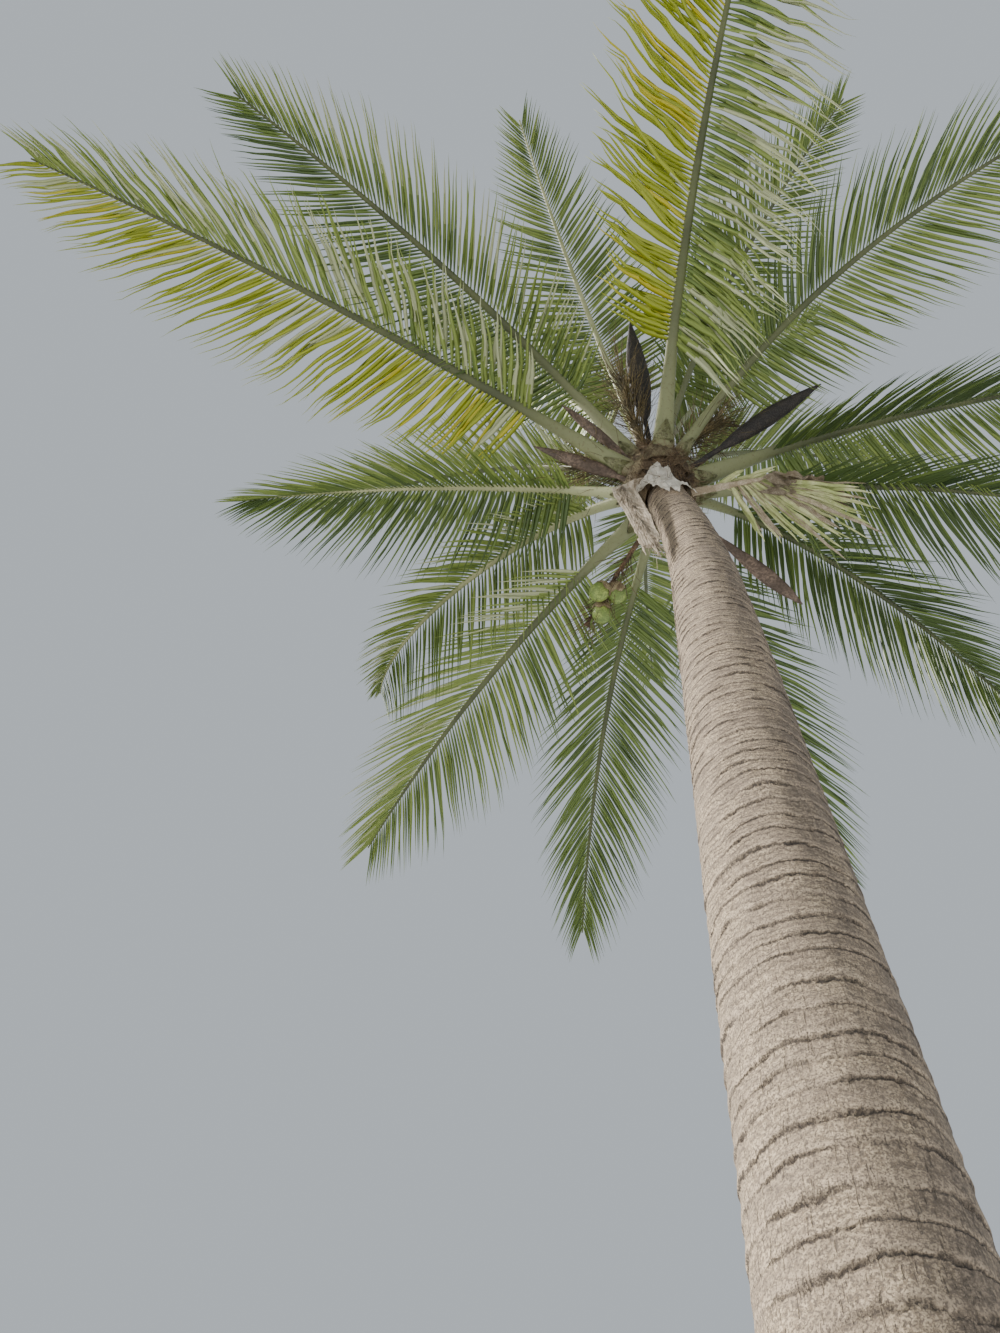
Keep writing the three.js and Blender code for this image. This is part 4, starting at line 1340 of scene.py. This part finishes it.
def make_broken_frond():
    path = ArchPath(*BROKEN)
    tan = mottled_finish("broken_tan", (0.5, 0.43, 0.33), (0.32, 0.26, 0.18), 22.0, 0.85, 0.003, soil=0.45)
    cream = mottled_finish("fan_cream", (0.62, 0.64, 0.36), (0.4, 0.46, 0.18), 9.0, 0.65, soil=0.25)
    chance = random.Random(4)
    blades = fan_blades(path, FAN, chance)
    tuft = fan_blades(path, FAN_TUFT, chance)
    tan_blades = blades[1::4]
    cream_blades = [line for i, line in enumerate(blades) if i % 4 != 1]
    point, along, side = path.at(1)
    outward = (along * 0.9 + side * 0.43).normalized()
    across = (side * 0.9 - along * 0.43).normalized()
    middle = point + outward * 0.2 - UP * 0.035
    torn = crumpled_form(middle, outward, across, TORN_LEAF_LENGTH, TORN_LEAF_WIDTH)
    parts = [
        limbs([path_line(path, tapering(BROKEN_WIDTH, BROKEN_TAPER))], STALK_SECTION, tan, 0.014, 26.0),
        limbs(tan_blades, FOLD_SECTION, tan, 0.02, 12.0),
        skinned([torn], 30, 24, tan, 0.004),
    ]
    piece("broken_stub", parts, "dry_leaf", "broken_frond")
    fan = limbs(cream_blades + tuft, FOLD_SECTION, cream, 0.02, 12.0)
    piece("broken_fan", [fan], "dry_leaf", "broken_frond")


def smooth_line(stations, steps):
    """Points of a smooth curve through stations."""
    padded = [2 * stations[0] - stations[1], *stations, 2 * stations[-1] - stations[-2]]
    places = []
    for a, b, c, d in zip(padded, padded[1:], padded[2:], padded[3:]):
        for k in range(steps):
            t = k / steps
            smooth = (c - a) * t + (2 * a - 5 * b + 4 * c - d) * t**2 + (3 * b - a - 3 * c + d) * t**3
            places.append(b + smooth / 2)
    return places + [stations[-1]]


def make_dead_base():
    outward, side = compass(DEAD_BASE_BEARING)
    stations = [heart_point(rise) + outward * distance for rise, distance in DEAD_BASE_STATIONS]
    places = smooth_line(stations, DEAD_BASE_STEPS)
    width_at = tapering(DEAD_BASE_WIDTH, DEAD_BASE_TAPER)
    strap = []
    for i, place in enumerate(places):
        share = i / (len(places) - 1)
        along = (places[min(i + 1, len(places) - 1)] - places[max(i - 1, 0)]).normalized()
        across = rolled(side, DEAD_BASE_ROLL * min(1, share * 2.5), along)
        strap.append(dict(place=place, share=share, along=along, side=across, girth=width_at(share)))
    finish = mottled_finish(
        "dead_base_grey", (0.58, 0.5, 0.4), (0.34, 0.28, 0.21), 9.0, 0.92, 0.004, (5.0, 5.0, 1.0), 0.45
    )
    tongues = []
    for offset, length in DEAD_TONGUES:
        side = strap[-1]["side"]
        root = strap[-4]["place"] + side * offset
        slant = (strap[-1]["along"] + side * (offset / length / 2)).normalized()
        curl = outward * (0.03 if offset > 0 else -0.004)
        tongues.append(
            bent_line(root, slant, side, length, lambda run: DEAD_TONGUE_WIDTH * max(0.06, 1 - run), curl)
        )
    parts = [
        limbs([strap], section("strap_section", 76, strap_outline), finish, 0.022, 16.0),
        limbs(tongues, FOLD_SECTION, finish, 0.012, 24.0),
        strands([strap], finish, 0.0035, 0.2, 0.0026, First=0.4, Spread=13.0, Sag=0.2, Curl=0.12, Seed=9),
    ]
    piece("dead_leaf_strap", parts, "dead_base", "dead_leaf_base")


def make_torn_sheath():
    outward, level = compass(SHEATH_BEARING)

    def place_at(share_up, share):
        sideways = lerp(SHEATH_LOWER[0][0], SHEATH_LOWER[-1][0], share)
        ragged = 10 * ripple(sideways * 0.07, 3, 0) + 9 * ripple(sideways * 0.4, 7, 0)
        lower = on_line(SHEATH_LOWER, sideways) + ragged
        upper = max(lower + 3, on_line(SHEATH_UPPER, sideways) - 0.6 * ragged)
        rise = lerp(lower, upper, share_up) * MM
        across = sideways * MM
        radius = on_line(HEART_PROFILE, rise) + 0.022
        depth = math.sqrt(max(radius**2 - across**2 * 0.6, 0.002))
        fold = abs(ripple(sideways * 0.022, rise * 12, 1))
        depth += 0.034 * fold + 0.008 * ripple(sideways * 0.07, rise * 50, 4)
        return heart_point(rise) + level * across + outward * depth

    finish = mottled_finish(
        "sheath_grey", (0.9, 0.88, 0.82), (0.72, 0.68, 0.6), 16.0, 0.9, 0.002, (1.0, 1.0, 3.0), 0.2
    )
    flap = skinned([place_at], SHEATH_ROWS, SHEATH_COLUMNS, finish, SHEATH_THICKNESS)
    piece("torn_flap", [flap], "sheath", "torn_sheath")


def make_stub():
    finish = mottled_finish("stub_brown", (0.11, 0.075, 0.045), (0.04, 0.027, 0.018), 20.0, 0.85, 0.004)
    cut = mottled_finish("stub_cut", (0.5, 0.42, 0.3), (0.3, 0.23, 0.15), 40.0, 0.9)
    line = path_line(ArchPath(*STUB), tapering(STUB_WIDTH, STUB_TAPER), steps=24)
    piece("old_leaf_stub", [limbs([line[:-1]], STALK_SECTION, finish, 0.01, 22.0)], "fibre", "cut_stub")
    piece("stub_cut_face", [limbs([line[-2:]], STALK_SECTION, cut, 0.0)], "fibre", "cut_stub")


def make_stage():
    """Camera, pale floor, pale world light and one soft key light from the left."""
    camera = bpy.data.cameras.new("eye")
    camera.sensor_fit = "AUTO"
    camera.sensor_width = SENSOR_LONG_SIDE
    camera.lens = LENS
    camera.clip_start = 0.05
    camera.clip_end = 200
    eye = linked("eye", camera)
    eye.location = EYE
    eye.rotation_euler = (math.radians(EYE_TILT), 0, 0)
    bpy.context.scene.camera = eye

    mesh = bpy.data.meshes.new("floor")
    corners = [(x * FLOOR_REACH, y * FLOOR_REACH, 0) for x, y in ((-1, -1), (1, -1), (1, 1), (-1, 1))]
    mesh.from_pydata(corners, [], [(0, 1, 2, 3)])
    mesh.materials.append(Finish("pale_floor", 0.9, (0.72, 0.72, 0.7)).material)
    linked("floor", mesh)

    world = bpy.data.worlds.new("pale_studio")
    bpy.context.scene.world = world
    world.use_nodes = True
    sky = world.node_tree.nodes["Background"]
    sky.inputs["Color"].default_value = (0.8, 0.87, 0.94, 1)
    sky.inputs["Strength"].default_value = 0.62

    sun = bpy.data.lights.new("key", "SUN")
    sun.energy = 7.5
    sun.angle = math.radians(8)
    sun.color = (1, 0.95, 0.88)
    linked("key", sun).rotation_euler = Vector((-0.88, -0.08, 0.55)).to_track_quat("Z", "Y").to_euler()


make_stage()
make_trunk()
make_heart()
make_fronds()
make_spear()
make_pods()
make_brushes()
make_nuts()
make_broken_frond()
make_dead_base()
make_torn_sheath()
make_stub()
